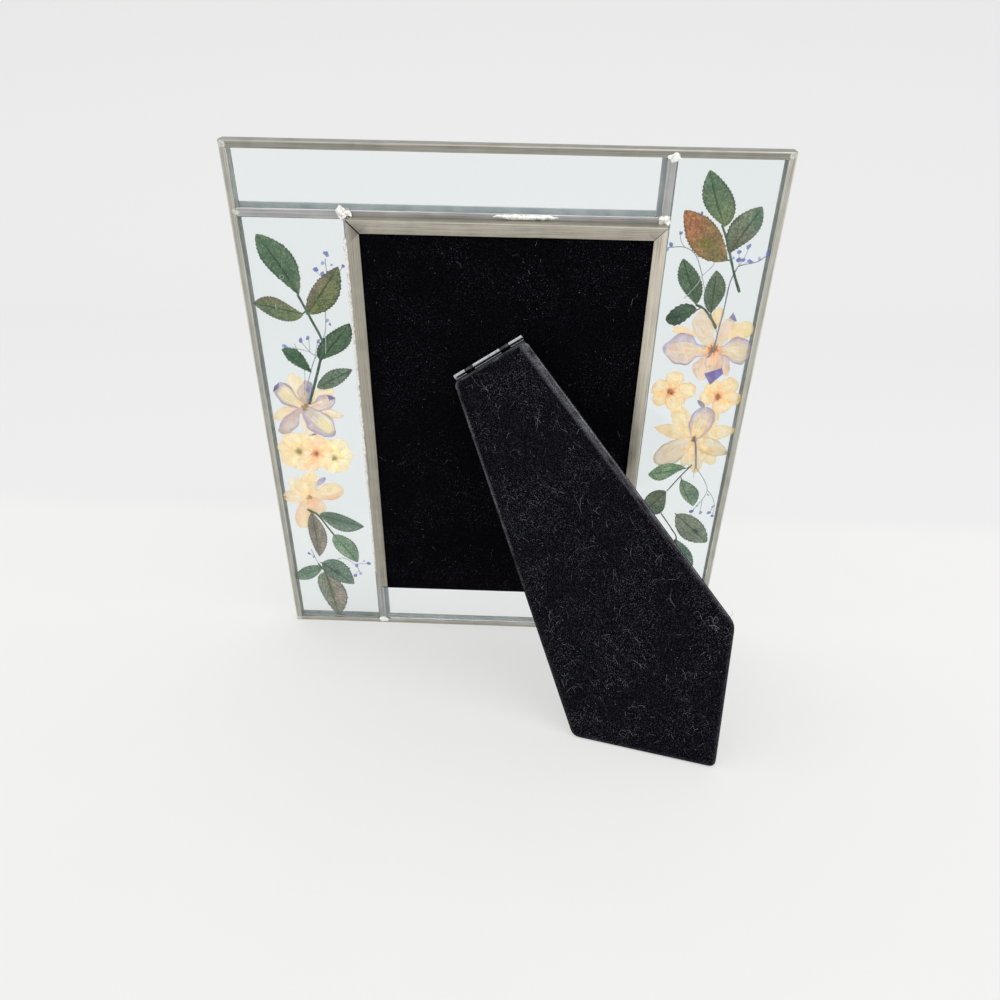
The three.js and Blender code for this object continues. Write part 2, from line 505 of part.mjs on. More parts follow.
/** Solder: rail corners, came joints and what holds the photo channel on. */
function addSolder() {
  const clearance = 0.05;
  const channelTop = channelHigh + clearance;
  const channelLeft = CHANNEL_X - channelHalf - clearance;
  const channelRight = CHANNEL_X + channelHalf + clearance;
  const belowChannel = block(channelLeft, channelRight, -9, 0, channelTop - 12, channelTop);
  const drop = (name, ...shape) => addPiece(panel, name, solderDrop(...shape), SOLDER);
  const cornerX = FRAME_W / 2 - RAIL_FACE / 2;
  const cornerZ = RAIL_FACE / 2;
  drop('solder_corner_top_left', -cornerX, FRAME_H - cornerZ, 1.2, 1.2, 0.35);
  drop('solder_corner_top_right', cornerX, FRAME_H - cornerZ, 1.1, 1.1, 0.25);
  drop('solder_corner_bottom_left', -cornerX, cornerZ + 0.2, 1.1, 1, 0.25);
  drop('solder_corner_bottom_right', cornerX, cornerZ + 0.2, 1.1, 1, 0.25);
  drop('solder_joint_top', RIGHT_CAME_X + 0.6, FRAME_H - 2.2, 2.6, 1.7, 0.9);
  drop('solder_joint_left', -FRAME_W / 2 + RAIL_FACE, UPPER_CAME_Z, 1.6, 1.3, 0.35);
  drop('solder_joint_bottom', LEFT_CAME_X + 0.4, 2.4, 2.2, 1.3, 0.5);
  drop('solder_channel_left', LEFT_CAME_X - 1.2, channelTop + 0.9, 2.2, 2.6, 2.6, belowChannel);
  drop('solder_channel_middle', 6.8, channelTop + 0.6, 10.6, 1.3, 1.6, belowChannel);
  drop('solder_channel_right', RIGHT_CAME_X - 0.2, channelTop + 0.9, 2.6, 2.4, 2.2, belowChannel);
  const seam = new THREE.Shape([
    new THREE.Vector2(channelLeft, -SOLDER_SEAT),
    new THREE.Vector2(channelLeft - 1.4, -SOLDER_SEAT),
    new THREE.Vector2(channelLeft - 1, -0.9),
    new THREE.Vector2(channelLeft - 0.4, -1.5),
    new THREE.Vector2(channelLeft, -1.7),
  ]);
  const seamLength = 140;
  const seamGeometry = new THREE.ExtrudeGeometry(seam, { depth: seamLength, bevelEnabled: false });
  addPiece(panel, 'solder_channel_seam', seamGeometry.translate(0, 0, armLow + 5), SOLDER);
}

/** Every pressed specimen, in its layer between the sheets. */
function addSpecimens() {
  SPECIMENS.forEach(([name, outlines, layer, makeMaterial]) => {
    addPiece(panel, name, pressed(outlines, layer), makeMaterial);
  });
}

/** The velvet board in the photo channel. */
function addBoard() {
  const half = BOARD_W / 2;
  const outline = roundedOutline([
    [CHANNEL_X - half, boardLow], [CHANNEL_X + half, boardLow],
    [CHANNEL_X + half, boardHigh], [CHANNEL_X - half, boardHigh],
  ], BOARD_CORNER);
  addPiece(panel, 'easel_board', plate(outline, BOARD_BACK, BOARD_BACK + BOARD_T), VELVET);
}

/**
 * Knuckles along the hinge, from the left end. Three belong to the leg and the two between
 * them to the board.
 */
const KNUCKLES = [
  { from: 0, to: 4.8, owner: 'leg' },
  { from: 4.8, to: 8.1, owner: 'board' },
  { from: 8.1, to: 19.4, owner: 'leg' },
  { from: 19.4, to: 23.1, owner: 'board' },
  { from: 23.1, to: HINGE_L, owner: 'leg' },
];
const KNUCKLE_GAP = 0.1;

/** A rod or ring of one radius along the hinge's own x axis. */
function barrel(from, to, radius, bore) {
  const ring = new THREE.Shape();
  ring.absarc(0, 0, radius, 0, 2 * Math.PI);
  if (bore) {
    const hole = new THREE.Path();
    hole.absarc(0, 0, bore, 0, 2 * Math.PI, true);
    ring.holes.push(hole);
  }
  const geometry = new THREE.ExtrudeGeometry(ring, { depth: to - from, bevelEnabled: false, curveSegments: 8 });
  return geometry.rotateY(Math.PI / 2).translate(from, 0, 0);
}

/** A hinge leaf: its plate, its knuckles and the tongues between them, bored for the pin. */
function hingeLeaf(owner, plateY, plateFrom, plateTo) {
  const end = HINGE_L / 2;
  const spans = KNUCKLES.filter((knuckle) => knuckle.owner === owner)
    .map(({ from, to }) => [from - end + KNUCKLE_GAP, to - end - KNUCKLE_GAP]);
  const sheet = block(-end, end, plateY, plateY + LEAF_T, plateFrom, plateTo);
  const rings = spans.map(([from, to]) => barrel(from, to, KNUCKLE_R));
  const tongueTop = Math.max(plateY + LEAF_T, -0.8);
  const tongues = spans.map(([from, to]) => block(from, to, plateY, tongueTop, 0, plateFrom + 0.2));
  const bore = barrel(-end - 1, end + 1, KNUCKLE_BORE);
  return cut(join(sheet, ...rings, ...tongues), bore);
}

/**
 * The hinge and the leg. In the hinge's own coordinates x runs along the pin, y points away
 * from the board and z runs down the leg. The leg's outline is drawn folded flat on the
 * panel, where its foot and its side line up with the corner of the frame.
 */
function addLeg() {
  const hinge = new THREE.Group();
  const along = new THREE.Vector3(Math.cos(HINGE_ANGLE), 0, Math.sin(HINGE_ANGLE));
  const outward = new THREE.Vector3(0, -1, 0);
  const down = new THREE.Vector3().crossVectors(along, outward);
  hinge.quaternion.setFromRotationMatrix(new THREE.Matrix4().makeBasis(along, outward, down));
  hinge.position.set(HINGE_X, -HINGE_OUT, HINGE_Z);
  panel.add(hinge);

  const boardPlateY = HINGE_OUT + BOARD_BACK - 0.05;
  addPiece(hinge, 'hinge_leaf_board', hingeLeaf('board', -boardPlateY, 1.3, 14), STEEL);
  addPiece(hinge, 'hinge_pin', barrel(-HINGE_L / 2, HINGE_L / 2, PIN_R), STEEL);

  const swing = new THREE.Group();
  swing.rotation.x = -LEG_OPEN;
  hinge.add(swing);
  addPiece(swing, 'hinge_leaf_leg', hingeLeaf('leg', LEG_OFF - 0.05 - LEAF_T, 1.5, 12), STEEL);

  const folded = (x, z) => [
    (x - HINGE_X) * along.x + (z - HINGE_Z) * along.z,
    (x - HINGE_X) * down.x + (z - HINGE_Z) * down.z,
  ];
  // Height of the folded foot above the bottom of the frame that puts the open foot's
  // inner edge on the table, level with the rounded edge that the bottom rail stands on.
  const { sin, cos } = Math;
  const pinHeight = cos(LEAN) * (HINGE_Z + LEG_OFF * sin(LEG_OPEN) * cos(HINGE_ANGLE))
    - sin(LEAN) * (HINGE_OUT + LEG_OFF * cos(LEG_OPEN) + EDGE_R);
  const fallPerLength = cos(LEAN) * (sin(HINGE_ANGLE) ** 2 + cos(HINGE_ANGLE) ** 2 * cos(LEG_OPEN))
    + sin(LEAN) * cos(HINGE_ANGLE) * sin(LEG_OPEN);
  const footZ = HINGE_Z - pinHeight / fallPerLength;
  const outline = roundedOutline([
    [-LEG_TOP_HALF, LEG_TOP], folded(LEG_FOOT_X, footZ), folded(LEG_RIGHT, footZ),
    folded(LEG_RIGHT, LEG_KNEE_Z), [LEG_TOP_HALF, LEG_TOP],
  ], LEG_CORNER);
  addPiece(swing, 'easel_leg', plate(outline, LEG_OFF, LEG_OFF + LEG_T, 4), VELVET);
}

addRails();
addInnerCames();
addGlass();
addSpecimens();
addPhotoChannel();
addSolder();
addBoard();
addLeg();

// The origin is under the middle of the object, on the table.
part.updateMatrixWorld(true);
const bounds = new THREE.Box3().setFromObject(part, true);
panel.position.set(0, -(bounds.min.y + bounds.max.y) / 2, -bounds.min.z);

export default part;
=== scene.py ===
"""The look of a pressed flower photo frame, seen from behind and standing on its velvet easel back.

Shapes are drawn on the leaning panel in millimetres: x across, y through it to the display side
and z up the panel. Each mesh is then laid into the row frame, in metres.
"""

import json
import logging
import math
import random
from collections.abc import Callable, Iterable, Sequence
from dataclasses import dataclass, field, replace
from enum import Enum
from typing import Any

import bmesh
import bpy
from mathutils import Matrix, Vector, noise


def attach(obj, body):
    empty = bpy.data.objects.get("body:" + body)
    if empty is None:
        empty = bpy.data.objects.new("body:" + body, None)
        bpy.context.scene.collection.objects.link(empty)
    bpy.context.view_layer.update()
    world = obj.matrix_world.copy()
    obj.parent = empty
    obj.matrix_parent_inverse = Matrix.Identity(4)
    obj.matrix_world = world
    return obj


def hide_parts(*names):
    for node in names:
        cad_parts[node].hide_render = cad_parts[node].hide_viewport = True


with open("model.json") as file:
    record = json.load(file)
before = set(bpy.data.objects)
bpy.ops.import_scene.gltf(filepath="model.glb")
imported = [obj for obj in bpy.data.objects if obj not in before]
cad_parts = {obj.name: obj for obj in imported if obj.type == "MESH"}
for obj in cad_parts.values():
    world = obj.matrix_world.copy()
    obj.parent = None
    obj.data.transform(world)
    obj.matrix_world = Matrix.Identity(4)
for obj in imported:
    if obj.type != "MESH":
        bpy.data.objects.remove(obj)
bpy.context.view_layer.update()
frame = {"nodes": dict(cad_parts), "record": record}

LOG = logging.getLogger("pressed_flower_frame")
MM = 0.001
# Vector noise starts from the clock unless it is given a seed.
NOISE_SEED = 7
# Soft things are shaded smooth up to this turn, in degrees.
SOFT_TURN = 60
Spot = tuple[float, float]
Mesh = bmesh.types.BMesh
Piece = bpy.types.Object
Tree = bpy.types.NodeTree
Socket = bpy.types.NodeSocket


class Body(Enum):
    """The bodies that pieces move with."""

    FRAME = "frame"
    BACK = "easel_back"
    LEG = "easel_leg"


class Slot(Enum):
    """The record's material slots."""

    CAME = "came"
    CHANNEL = "channel"
    SOLDER = "solder"
    STEEL = "hinge_steel"
    GLASS = "glass"
    VELVET = "velvet"
    GREEN_LEAF = "green_leaf"
    AMBER_LEAF = "amber_leaf"
    CREAM_PETAL = "cream_petal"
    YELLOW_PETAL = "yellow_petal"
    BLUE_FLORET = "blue_floret"


# ---------------------------------------------------------------- the leaning panel


@dataclass(frozen=True)
class Panel:
    """The panel's own axes, as one matrix from panel millimetres to row metres."""

    matrix: Matrix

    @classmethod
    def from_record(cls, record: dict[str, Any]) -> "Panel":
        """Finds the lean from the easel back's slide and the place from the edge that it stands on.

        Args:
            record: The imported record.

        Returns:
            The panel.
        """
        slide = next(joint for joint in record["behaviour"]["joints"] if joint["type"] == "slide")
        edge = next(mount for mount in record["mounts"] if mount["name"] == "stand_edge")
        up = -Vector(slide["axis"]).normalized()
        across = Vector((1, 0, 0))
        through = up.cross(across)
        origin = Vector(edge["pos_m"]) - through * (CAME_DEPTH / 2 * MM)
        axes = Matrix((across, through, up)).transposed().to_4x4()
        return cls(Matrix.Translation(origin) @ axes @ Matrix.Scale(MM, 4))

    def box(self, node: str) -> tuple[Vector, Vector]:
        """Gives a CAD node's lowest and highest corners on the panel.

        Args:
            node: The node's name.

        Returns:
            Both corners, in panel millimetres.
        """
        back = self.matrix.inverted()
        points = [back @ vertex.co for vertex in frame["nodes"][node].data.vertices]
        low = Vector([min(point[axis] for point in points) for axis in range(3)])
        high = Vector([max(point[axis] for point in points) for axis in range(3)])
        return low, high

    def copy_of(self, node: str) -> Mesh:
        """Copies a CAD node's solid onto the panel, with its faces joined up.

        Args:
            node: The node's name.

        Returns:
            The solid in panel millimetres.
        """
        bm = bmesh.new()
        bm.from_mesh(frame["nodes"][node].data)
        bm.transform(self.matrix.inverted())
        bmesh.ops.remove_doubles(bm, verts=bm.verts, dist=0.002)
        bmesh.ops.dissolve_limit(bm, angle_limit=math.radians(1), verts=bm.verts, edges=bm.edges)
        bmesh.ops.recalc_face_normals(bm, faces=bm.faces)
        return bm


CAME_DEPTH = 5.6
PANEL = Panel.from_record(frame["record"])


# ---------------------------------------------------------------- mesh tools


def smooth_step(value: float, low: float, high: float) -> float:
    """Rises smoothly from 0 at low to 1 at high."""
    t = min(max((value - low) / (high - low), 0.0), 1.0)
    return t * t * (3 - 2 * t)


def make_piece(
    name: str,
    bm: Mesh,
    finishes: Sequence["Finish"],
    body: Body,
    stands_for: Iterable[str] = (),
    sharp_deg: float = 40,
) -> Piece:
    """Turns a shape drawn on the panel into a named piece that moves with a body.

    Args:
        name: The piece's name.
        bm: The shape, in panel millimetres. It is used up.
        finishes: The finishes, in the order of the shape's material numbers.
        body: The body that it moves with.
        stands_for: The CAD nodes that it replaces.
        sharp_deg: Edges with a sharper turn than this stay sharp.

    Returns:
        The piece.
    """
    bm.transform(PANEL.matrix)
    mesh = bpy.data.meshes.new(name)
    bm.to_mesh(mesh)
    bm.free()
    mesh.shade_smooth()
    mesh.set_sharp_from_angle(angle=math.radians(sharp_deg))
    piece = bpy.data.objects.new(name, mesh)
    bpy.context.scene.collection.objects.link(piece)
    for finish in finishes:
        mesh.materials.append(finish.material())
    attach(piece, body.value)
    nodes = list(stands_for)
    if nodes:
        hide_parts(*nodes)
    LOG.info("%s: %d faces on %s", name, len(mesh.polygons), body.value)
    return piece


def faces_at(verts: Iterable[bmesh.types.BMVert]) -> list[bmesh.types.BMFace]:
    """Lists the faces that touch any of some corners, each of them once."""
    return list(dict.fromkeys(face for vert in verts for face in vert.link_faces))


def sweep(
    bm: Mesh,
    path: Sequence[Vector],
    radii: Sequence[float],
    sides: int = 6,
    material: int = 0,
    flat: float = 1.0,
) -> list[bmesh.types.BMVert]:
    """Extrudes a round section along a path, from cap to cap.

    Args:
        bm: The mesh that it is added to.
        path: The points of the middle line.
        radii: The radius at each point.
        sides: Sides of the section.
        material: The material number.
        flat: How much of its depth through the panel is kept.

    Returns:
        The new vertices.
    """
    heading = (path[1] - path[0]).normalized()
    turn = Vector((0, 0, 1)).rotation_difference(heading)
    start = Matrix.Translation(path[0]) @ turn.to_matrix().to_4x4()
    made = bmesh.ops.create_circle(bm, cap_ends=True, radius=radii[0], segments=sides, matrix=start)
    verts = list(made["verts"])
    face = verts[0].link_faces[0]
    for i in range(1, len(path)):
        ahead = path[min(i + 1, len(path) - 1)] - path[i - 1]
        bend = heading.rotation_difference(ahead.normalized())
        grown = bmesh.ops.extrude_face_region(bm, geom=[face])["geom"]
        face = next(item for item in grown if isinstance(item, bmesh.types.BMFace))
        for vert in face.verts:
            vert.co = path[i] + bend @ (vert.co - path[i - 1]) * (radii[i] / radii[i - 1])
        verts.extend(face.verts)
        heading = ahead.normalized()
    if flat != 1.0:
        for vert in verts:
            middle = min(path, key=lambda point: (point - vert.co).length_squared).y
            vert.co.y = middle + (vert.co.y - middle) * flat
    touched = faces_at(verts)
    for item in touched:
        item.material_index = material
    bmesh.ops.recalc_face_normals(bm, faces=touched)
    return verts


def smooth_path(points: Sequence[Vector], steps: int) -> list[Vector]:
    """Runs a smooth line through given points.

    Args:
        points: The points.
        steps: Steps between one point and the next.

    Returns:
        The finer points.
    """
    line = [points[0] * 2 - points[1], *points, points[-1] * 2 - points[-2]]
    fine = []
    for a, b, c, d in zip(line, line[1:], line[2:], line[3:]):
        for step in range(steps):
            t = step / steps
            bend = (a * 2 - b * 5 + c * 4 - d) * t**2 + (b * 3 - a - c * 3 + d) * t**3
            fine.append(0.5 * (b * 2 + (c - a) * t + bend))
    return [*fine, points[-1].copy()]


def cut_through(bm: Mesh, spot: Vector, normal: Vector, clear: bool = False) -> list[Any]:
    """Cuts the whole mesh along a plane.

    Args:
        bm: The mesh.
        spot: A point of the plane.
        normal: The way that the plane faces.
        clear: True to take away what lies in front of it.

    Returns:
        The corners and edges along the cut.
    """
    everything = [*bm.verts, *bm.edges, *bm.faces]
    cut = bmesh.ops.bisect_plane(bm, geom=everything, plane_co=spot, plane_no=normal, clear_outer=clear)
    return cut["geom_cut"]


def round_over(bm: Mesh, edges: list[bmesh.types.BMEdge], radius: float, segments: int) -> None:
    """Rounds edges over.

    Args:
        bm: The mesh.
        edges: Its edges.
        radius: How far the round reaches.
        segments: Flats of the round.
    """
    bmesh.ops.bevel(
        bm, geom=edges, offset=radius, segments=segments, profile=0.5, affect="EDGES", material=-1
    )


def wander(point: Vector, size: float, amount: float) -> Vector:
    """Gives a smooth random shift, with lumps of one size and a greatest amount."""
    return noise.noise_vector(point / size) * amount


# ---------------------------------------------------------------- colour and finish


def linear(code: str, alpha: float = 1.0) -> tuple[float, float, float, float]:
    """Turns an sRGB hex colour to linear values.

    Args:
        code: Six hex digits after a hash.
        alpha: The fourth value.

    Returns:
        Red, green, blue and alpha.
    """
    parts = [int(code[i : i + 2], 16) / 255 for i in (1, 3, 5)]
    curve = [part / 12.92 if part <= 0.04045 else ((part + 0.055) / 1.055) ** 2.4 for part in parts]
    return (*curve, alpha)


def per_mm(size: float) -> float:
    """Gives the texture scale at which a pattern in metres repeats every so many millimetres."""
    return 1 / (size * MM)


def feed(tree: Tree, node: bpy.types.Node, inputs: dict[int | str, Any]) -> None:
    """Sets or links a node's inputs.

    Args:
        tree: The node tree.
        node: The node.
        inputs: For each input socket, a value or the output socket that feeds it.
    """
    for key, value in inputs.items():
        if isinstance(value, Socket):
            tree.links.new(value, node.inputs[key])
        else:
            node.inputs[key].default_value = value


def add_node(
    tree: Tree, kind: str, inputs: dict[int | str, Any] | None = None, **settings: Any
) -> bpy.types.Node:
    """Adds one node, with its settings, values and links.

    Args:
        tree: The node tree.
        kind: The node's type, without ShaderNode.
        inputs: For each input socket, a value or the output socket that feeds it.
        **settings: The node's own settings.

    Returns:
        The node.
    """
    made = tree.nodes.new("ShaderNode" + kind)
    for name, value in settings.items():
        setattr(made, name, value)
    feed(tree, made, inputs or {})
    return made


@dataclass(frozen=True)
class Finish:
    """What every finish has: a name, and one shader that it dresses."""

    name: str

    def material(self) -> bpy.types.Material:
        """Gives this finish's material, and makes it the first time."""
        if self.name in bpy.data.materials:
            return bpy.data.materials[self.name]
        made = bpy.data.materials.new(self.name)
        made.use_nodes = True
        tree = made.node_tree
        tree.nodes.clear()
        shader = add_node(tree, "BsdfPrincipled")
        add_node(tree, "OutputMaterial", {"Surface": shader.outputs[0]})
        self.dress(tree, shader)
        return made

    def dress(self, tree: Tree, shader: bpy.types.Node) -> None:
        """Adds the nodes that feed the shader."""
        raise NotImplementedError


def grey_noise(tree: Tree, where: Socket, size: float, detail: float = 4) -> Any:
    """Adds cloudy noise of one size.

    Args:
        tree: The node tree.
        where: The coordinates, in metres.
        size: The size of its clouds, in millimetres.
        detail: How many finer layers it has.

    Returns:
        The output socket, from 0 to 1.
    """
    inputs = {"Vector": where, "Scale": per_mm(size), "Detail": detail}
    return add_node(tree, "TexNoise", inputs).outputs["Fac"]


def scattered(tree: Tree, where: Socket, size: float) -> Any:
    """Scatters points over a surface.

    Args:
        tree: The node tree.
        where: The coordinates, in metres.
        size: How far apart they are, in millimetres.

    Returns:
        The output socket: how far the nearest of them is.
    """
    return add_node(tree, "TexVoronoi", {"Vector": where, "Scale": per_mm(size)}).outputs["Distance"]


def remap(tree: Tree, value: Any, low: float, high: float, to_low: float, to_high: float) -> Any:
    """Stretches a value from one range to another, and holds it there.

    Args:
        tree: The node tree.
        value: The socket.
        low: The value that becomes to_low.
        high: The value that becomes to_high.
        to_low: The result at low.
        to_high: The result at high.

    Returns:
        The output socket.
    """
    sockets = {"Value": value, "From Min": low, "From Max": high, "To Min": to_low, "To Max": to_high}
    return add_node(tree, "MapRange", sockets, interpolation_type="SMOOTHSTEP").outputs["Result"]


def blend_colours(tree: Tree, amount: Any, first: Any, second: Any, kind: str = "MIX") -> Any:
    """Mixes two colours by an amount from 0 to 1.

    Args:
        tree: The node tree.
        amount: The amount, as a number or a socket.
        first: The colour at 0: a hex code, linear values or a socket.
        second: The colour at 1, in the same way.
        kind: How they are mixed.

    Returns:
        The output socket.
    """
    low, high = (linear(item) if isinstance(item, str) else item for item in (first, second))
    # On a colour Mix node, input 0 is the amount, 6 and 7 are the colours and output 2 is the result.
    mixer = add_node(tree, "Mix", {0: amount, 6: low, 7: high}, data_type="RGBA", blend_type=kind)
    return mixer.outputs[2]


def calculate(tree: Tree, operation: str, *values: Any) -> Any:
    """Adds a Math node.

    Args:
        tree: The node tree.
        operation: What it does.
        *values: Its numbers or sockets.

    Returns:
        The output socket.
    """
    return add_node(tree, "Math", dict(enumerate(values)), operation=operation).outputs[0]


def relief(tree: Tree, height: Any, depth: float, strength: float) -> Any:
    """Adds a fine relief for the light to catch on.

    Args:
        tree: The node tree.
        height: The socket that it follows.
        depth: How deep it is, in millimetres.
        strength: How much of it shows.

    Returns:
        The output socket, for a shader's normal.
    """
    inputs = {"Height": height, "Distance": depth * MM, "Strength": strength}
    return add_node(tree, "Bump", inputs).outputs[0]


def object_place(tree: Tree) -> Any:
    """Gives the socket of a point's own place on its piece, in metres."""
    return add_node(tree, "TexCoord").outputs["Object"]


def painted(tree: Tree, layer: str, output: str) -> Any:
    """Gives the socket of a layer that the mesh carries."""
    return add_node(tree, "Attribute", attribute_name=layer).outputs[output]


@dataclass(frozen=True)
class DrawnMetal(Finish):
    """Drawn zinc or tinned channel: dull and slightly oxidised, lighter along its edges from rubbing and
    painted highlight.
    """

    body: str = "#8F8E86"
    tarnish: str = "#6E6D68"
    # The edge colour, for rubbing and painted highlight alike.
    rubbed: str = "#D8D6CC"
    roughness: float = 0.42
    metallic: float = 1.0
    painted_glow: float = 0.0
    line_long: float = 30.0
    line_wide: float = 0.25
    cloud: float = 7.0
    grain: float = 0.7

    def dress(self, tree: Tree, shader: bpy.types.Node) -> None:
        """Mottles the oxide, brightens the edges with rubbing and painted highlight and draws fine lines
        along the length.
        """
        place = object_place(tree)
        along = add_node(tree, "UVMap", uv_map="run").outputs["UV"]
        scale = (1 / self.line_long, 1 / self.line_wide, 1)
        stretch = add_node(tree, "Mapping", {"Vector": along, "Scale": scale}).outputs[0]
        lines = add_node(tree, "TexNoise", {"Vector": stretch, "Scale": 1.0, "Detail": 3}).outputs["Fac"]
        oxide = grey_noise(tree, place, self.cloud)
        grit = grey_noise(tree, place, self.grain, 2)
        clouded = remap(tree, oxide, 0.35, 0.65, 0, 1)
        dull = blend_colours(tree, clouded, self.body, self.tarnish)
        dull = blend_colours(tree, remap(tree, grit, 0.55, 0.8, 0, 0.35), dull, self.tarnish)
        # Edges, lips and the outer face are lightened: partly rubbing, partly painted highlight.
        edge_wear_and_highlight = painted(tree, "edge_wear_and_highlight", "Fac")
        wear_and_highlight = calculate(tree, "MULTIPLY", edge_wear_and_highlight, remap(tree, lines, 0.3, 0.6, 0.45, 1))
        colour = blend_colours(tree, wear_and_highlight, dull, self.rubbed)
        rough = remap(tree, oxide, 0.3, 0.7, self.roughness - 0.08, self.roughness + 0.12)
        normal = relief(tree, calculate(tree, "ADD", lines, grit), 0.03, 0.6)
        feed(tree, shader, {
            "Base Color": colour, "Metallic": self.metallic, "Roughness": rough, "Normal": normal,
            # The cut edge of the glass carries light into the groove: a faint glow stands for that.
            "Emission Color": linear(self.body), "Emission Strength": self.painted_glow,
        })


@dataclass(frozen=True)
class RunSolder(Finish):
    """Hand-run tin solder: bright and smooth where it froze, a little frosted with flux between."""

    bright: str = "#FFFFFC"
    frosted: str = "#E2DED4"
    flux: str = "#C2963A"
    flux_amount: float = 0.3
    pit: float = 0.9
    patch: float = 2.6

    def dress(self, tree: Tree, shader: bpy.types.Node) -> None:
        """Breaks the bright skin up with frosted patches and a trace of yellow flux."""
        place = object_place(tree)
        pits = grey_noise(tree, place, self.pit)
        patches = grey_noise(tree, place, self.patch)
        dulled = remap(tree, pits, 0.42, 0.7, 0, 1)
        colour = blend_colours(tree, dulled, self.bright, self.frosted)
        stained = remap(tree, patches, 0.58, 0.72, 0, self.flux_amount)
        colour = blend_colours(tree, stained, colour, self.flux)
        rough = remap(tree, pits, 0.35, 0.65, 0.24, 0.5)
        normal = relief(tree, pits, 0.05, 0.5)
        feed(tree, shader, {"Base Color": colour, "Metallic": 0.4, "Roughness": rough, "Normal": normal})


@dataclass(frozen=True)
class PlatedSteel(Finish):
    """Plated hinge steel: bright and scuffed on its knuckles, with painted shade on the leaf away from the
    pin, standing in for the dark velvet that it would mirror.
    """

    colour: str = "#BFC0C4"
    scuffed: str = "#77787C"
    # The painted shade on the leaf away from the pin.
    dull: str = "#2C2C30"
    shade_from: float = 1.15
    scuff: float = 1.2

    def dress(self, tree: Tree, shader: bpy.types.Node) -> None:
        """Scuffs the plating and paints shade on it away from the pin."""
        place = object_place(tree)
        scuffs = grey_noise(tree, place, self.scuff)
        pin = next(joint for joint in frame["record"]["behaviour"]["joints"] if joint["type"] == "hinge")
        spot, axis = Vector(pin["pos_m"]), Vector(pin["axis"])
        away = add_node(tree, "VectorMath", {0: place, 1: spot}, operation="SUBTRACT").outputs[0]
        across = add_node(tree, "VectorMath", {0: away, 1: axis}, operation="CROSS_PRODUCT").outputs[0]
        reach = add_node(tree, "VectorMath", {0: across}, operation="LENGTH").outputs["Value"]
        rubbed = remap(tree, scuffs, 0.5, 0.7, 0, 0.5)
        colour = blend_colours(tree, rubbed, self.colour, self.scuffed)
        # Beyond this reach from the pin the dark colour is painted shade, for the velvet that the steel
        # would mirror.
        leaf = remap(tree, reach, (self.shade_from - 0.1) * MM, (self.shade_from + 0.1) * MM, 0, 1)
        colour = blend_colours(tree, leaf, colour, self.dull)
        rough = remap(tree, scuffs, 0.3, 0.7, 0.12, 0.28)
        feed(tree, shader, {"Base Color": colour, "Metallic": 1.0, "Roughness": rough})


@dataclass(frozen=True)
class WindowGlass(Finish):
    """Thin soda-lime sheet: clear, with the faint green-blue of its iron and only weak reflections."""

    tint: str = "#FAFDFD"
    mirror: float = 0.25
    bending: float = 1.52
    wave: float = 60.0

    def dress(self, tree: Tree, shader: bpy.types.Node) -> None:
        """Makes it see-through, with the slightest wave of drawn sheet."""
        place = object_place(tree)
        feed(tree, shader, {
            "Base Color": linear(self.tint), "Transmission Weight": 1.0, "IOR": self.bending,
            "Roughness": 0.0, "Specular Tint": (self.mirror, self.mirror, self.mirror, 1),
            "Normal": relief(tree, grey_noise(tree, place, self.wave, 1), 0.05, 0.3),
        })


@dataclass(frozen=True)
class FlockedVelvet(Finish):
    """Black flocked velvet: swallows light face on and greys over at its rims, with wear and painted
    highlight.
    """

    pile: str = "#050507"
    bloom: str = "#17171D"
    fuzz: str = "#4A4A52"
    wear_and_highlight: str = "#9C9CA4"
    dust: str = "#85858E"
    # Real flock is 0.02 mm thick: its tufts are drawn wider so that they show.
    tuft: float = 0.35
    patch: float = 14.0
    speck: float = 1.5

    def dress(self, tree: Tree, shader: bpy.types.Node) -> None:
        """Adds the pile's fine speckle, soft pressed patches, dust, and the rims' wear and painted
        highlight.
        """
        place = object_place(tree)
        tufts = grey_noise(tree, place, self.tuft, 2)
        patches = grey_noise(tree, place, self.patch, 3)
        raised = remap(tree, tufts, 0.45, 0.7, 0, 1)
        colour = blend_colours(tree, raised, self.pile, self.bloom)
        standing, crowded = remap(tree, tufts, 0.58, 0.7, 0, 1), remap(tree, patches, 0.42, 0.62, 0.08, 0.6)
        lifted = calculate(tree, "MULTIPLY", standing, crowded)
        colour = blend_colours(tree, lifted, colour, self.fuzz)
        specks = remap(tree, scattered(tree, place, self.speck), 0.04, 0.1, 1, 0)
        dusty = calculate(tree, "MULTIPLY", specks, remap(tree, patches, 0.4, 0.6, 0.05, 0.5))
        colour = blend_colours(tree, dusty, colour, self.dust)
        # The rims lighten towards the rim colour: wear and painted highlight.
        rim = painted(tree, "edge_wear_and_highlight", "Fac")
        thin = calculate(tree, "MULTIPLY", rim, remap(tree, tufts, 0.35, 0.6, 0.25, 1))
        feed(tree, shader, {
            "Base Color": blend_colours(tree, thin, colour, self.wear_and_highlight), "Roughness": 1.0,
            "Specular IOR Level": 0.0, "Sheen Weight": 0.01, "Sheen Roughness": 0.35,
            "Sheen Tint": linear("#B8BCD8"), "Normal": relief(tree, tufts, 0.15, 0.7),
        })


@dataclass(frozen=True)
class Lint(Finish):
    """Pale cotton lint and dust caught on the velvet."""

    colour: str = "#8E8E94"
    dim: str = "#2E2E34"

    def dress(self, tree: Tree, shader: bpy.types.Node) -> None:
        """Varies the lint from dim to pale."""
        place = object_place(tree)
        shade = remap(tree, grey_noise(tree, place, 4), 0.42, 0.62, 0, 1)
        colour = blend_colours(tree, shade, self.dim, self.colour)
        feed(tree, shader, {"Base Color": colour, "Roughness": 0.9, "Specular IOR Level": 0.1})


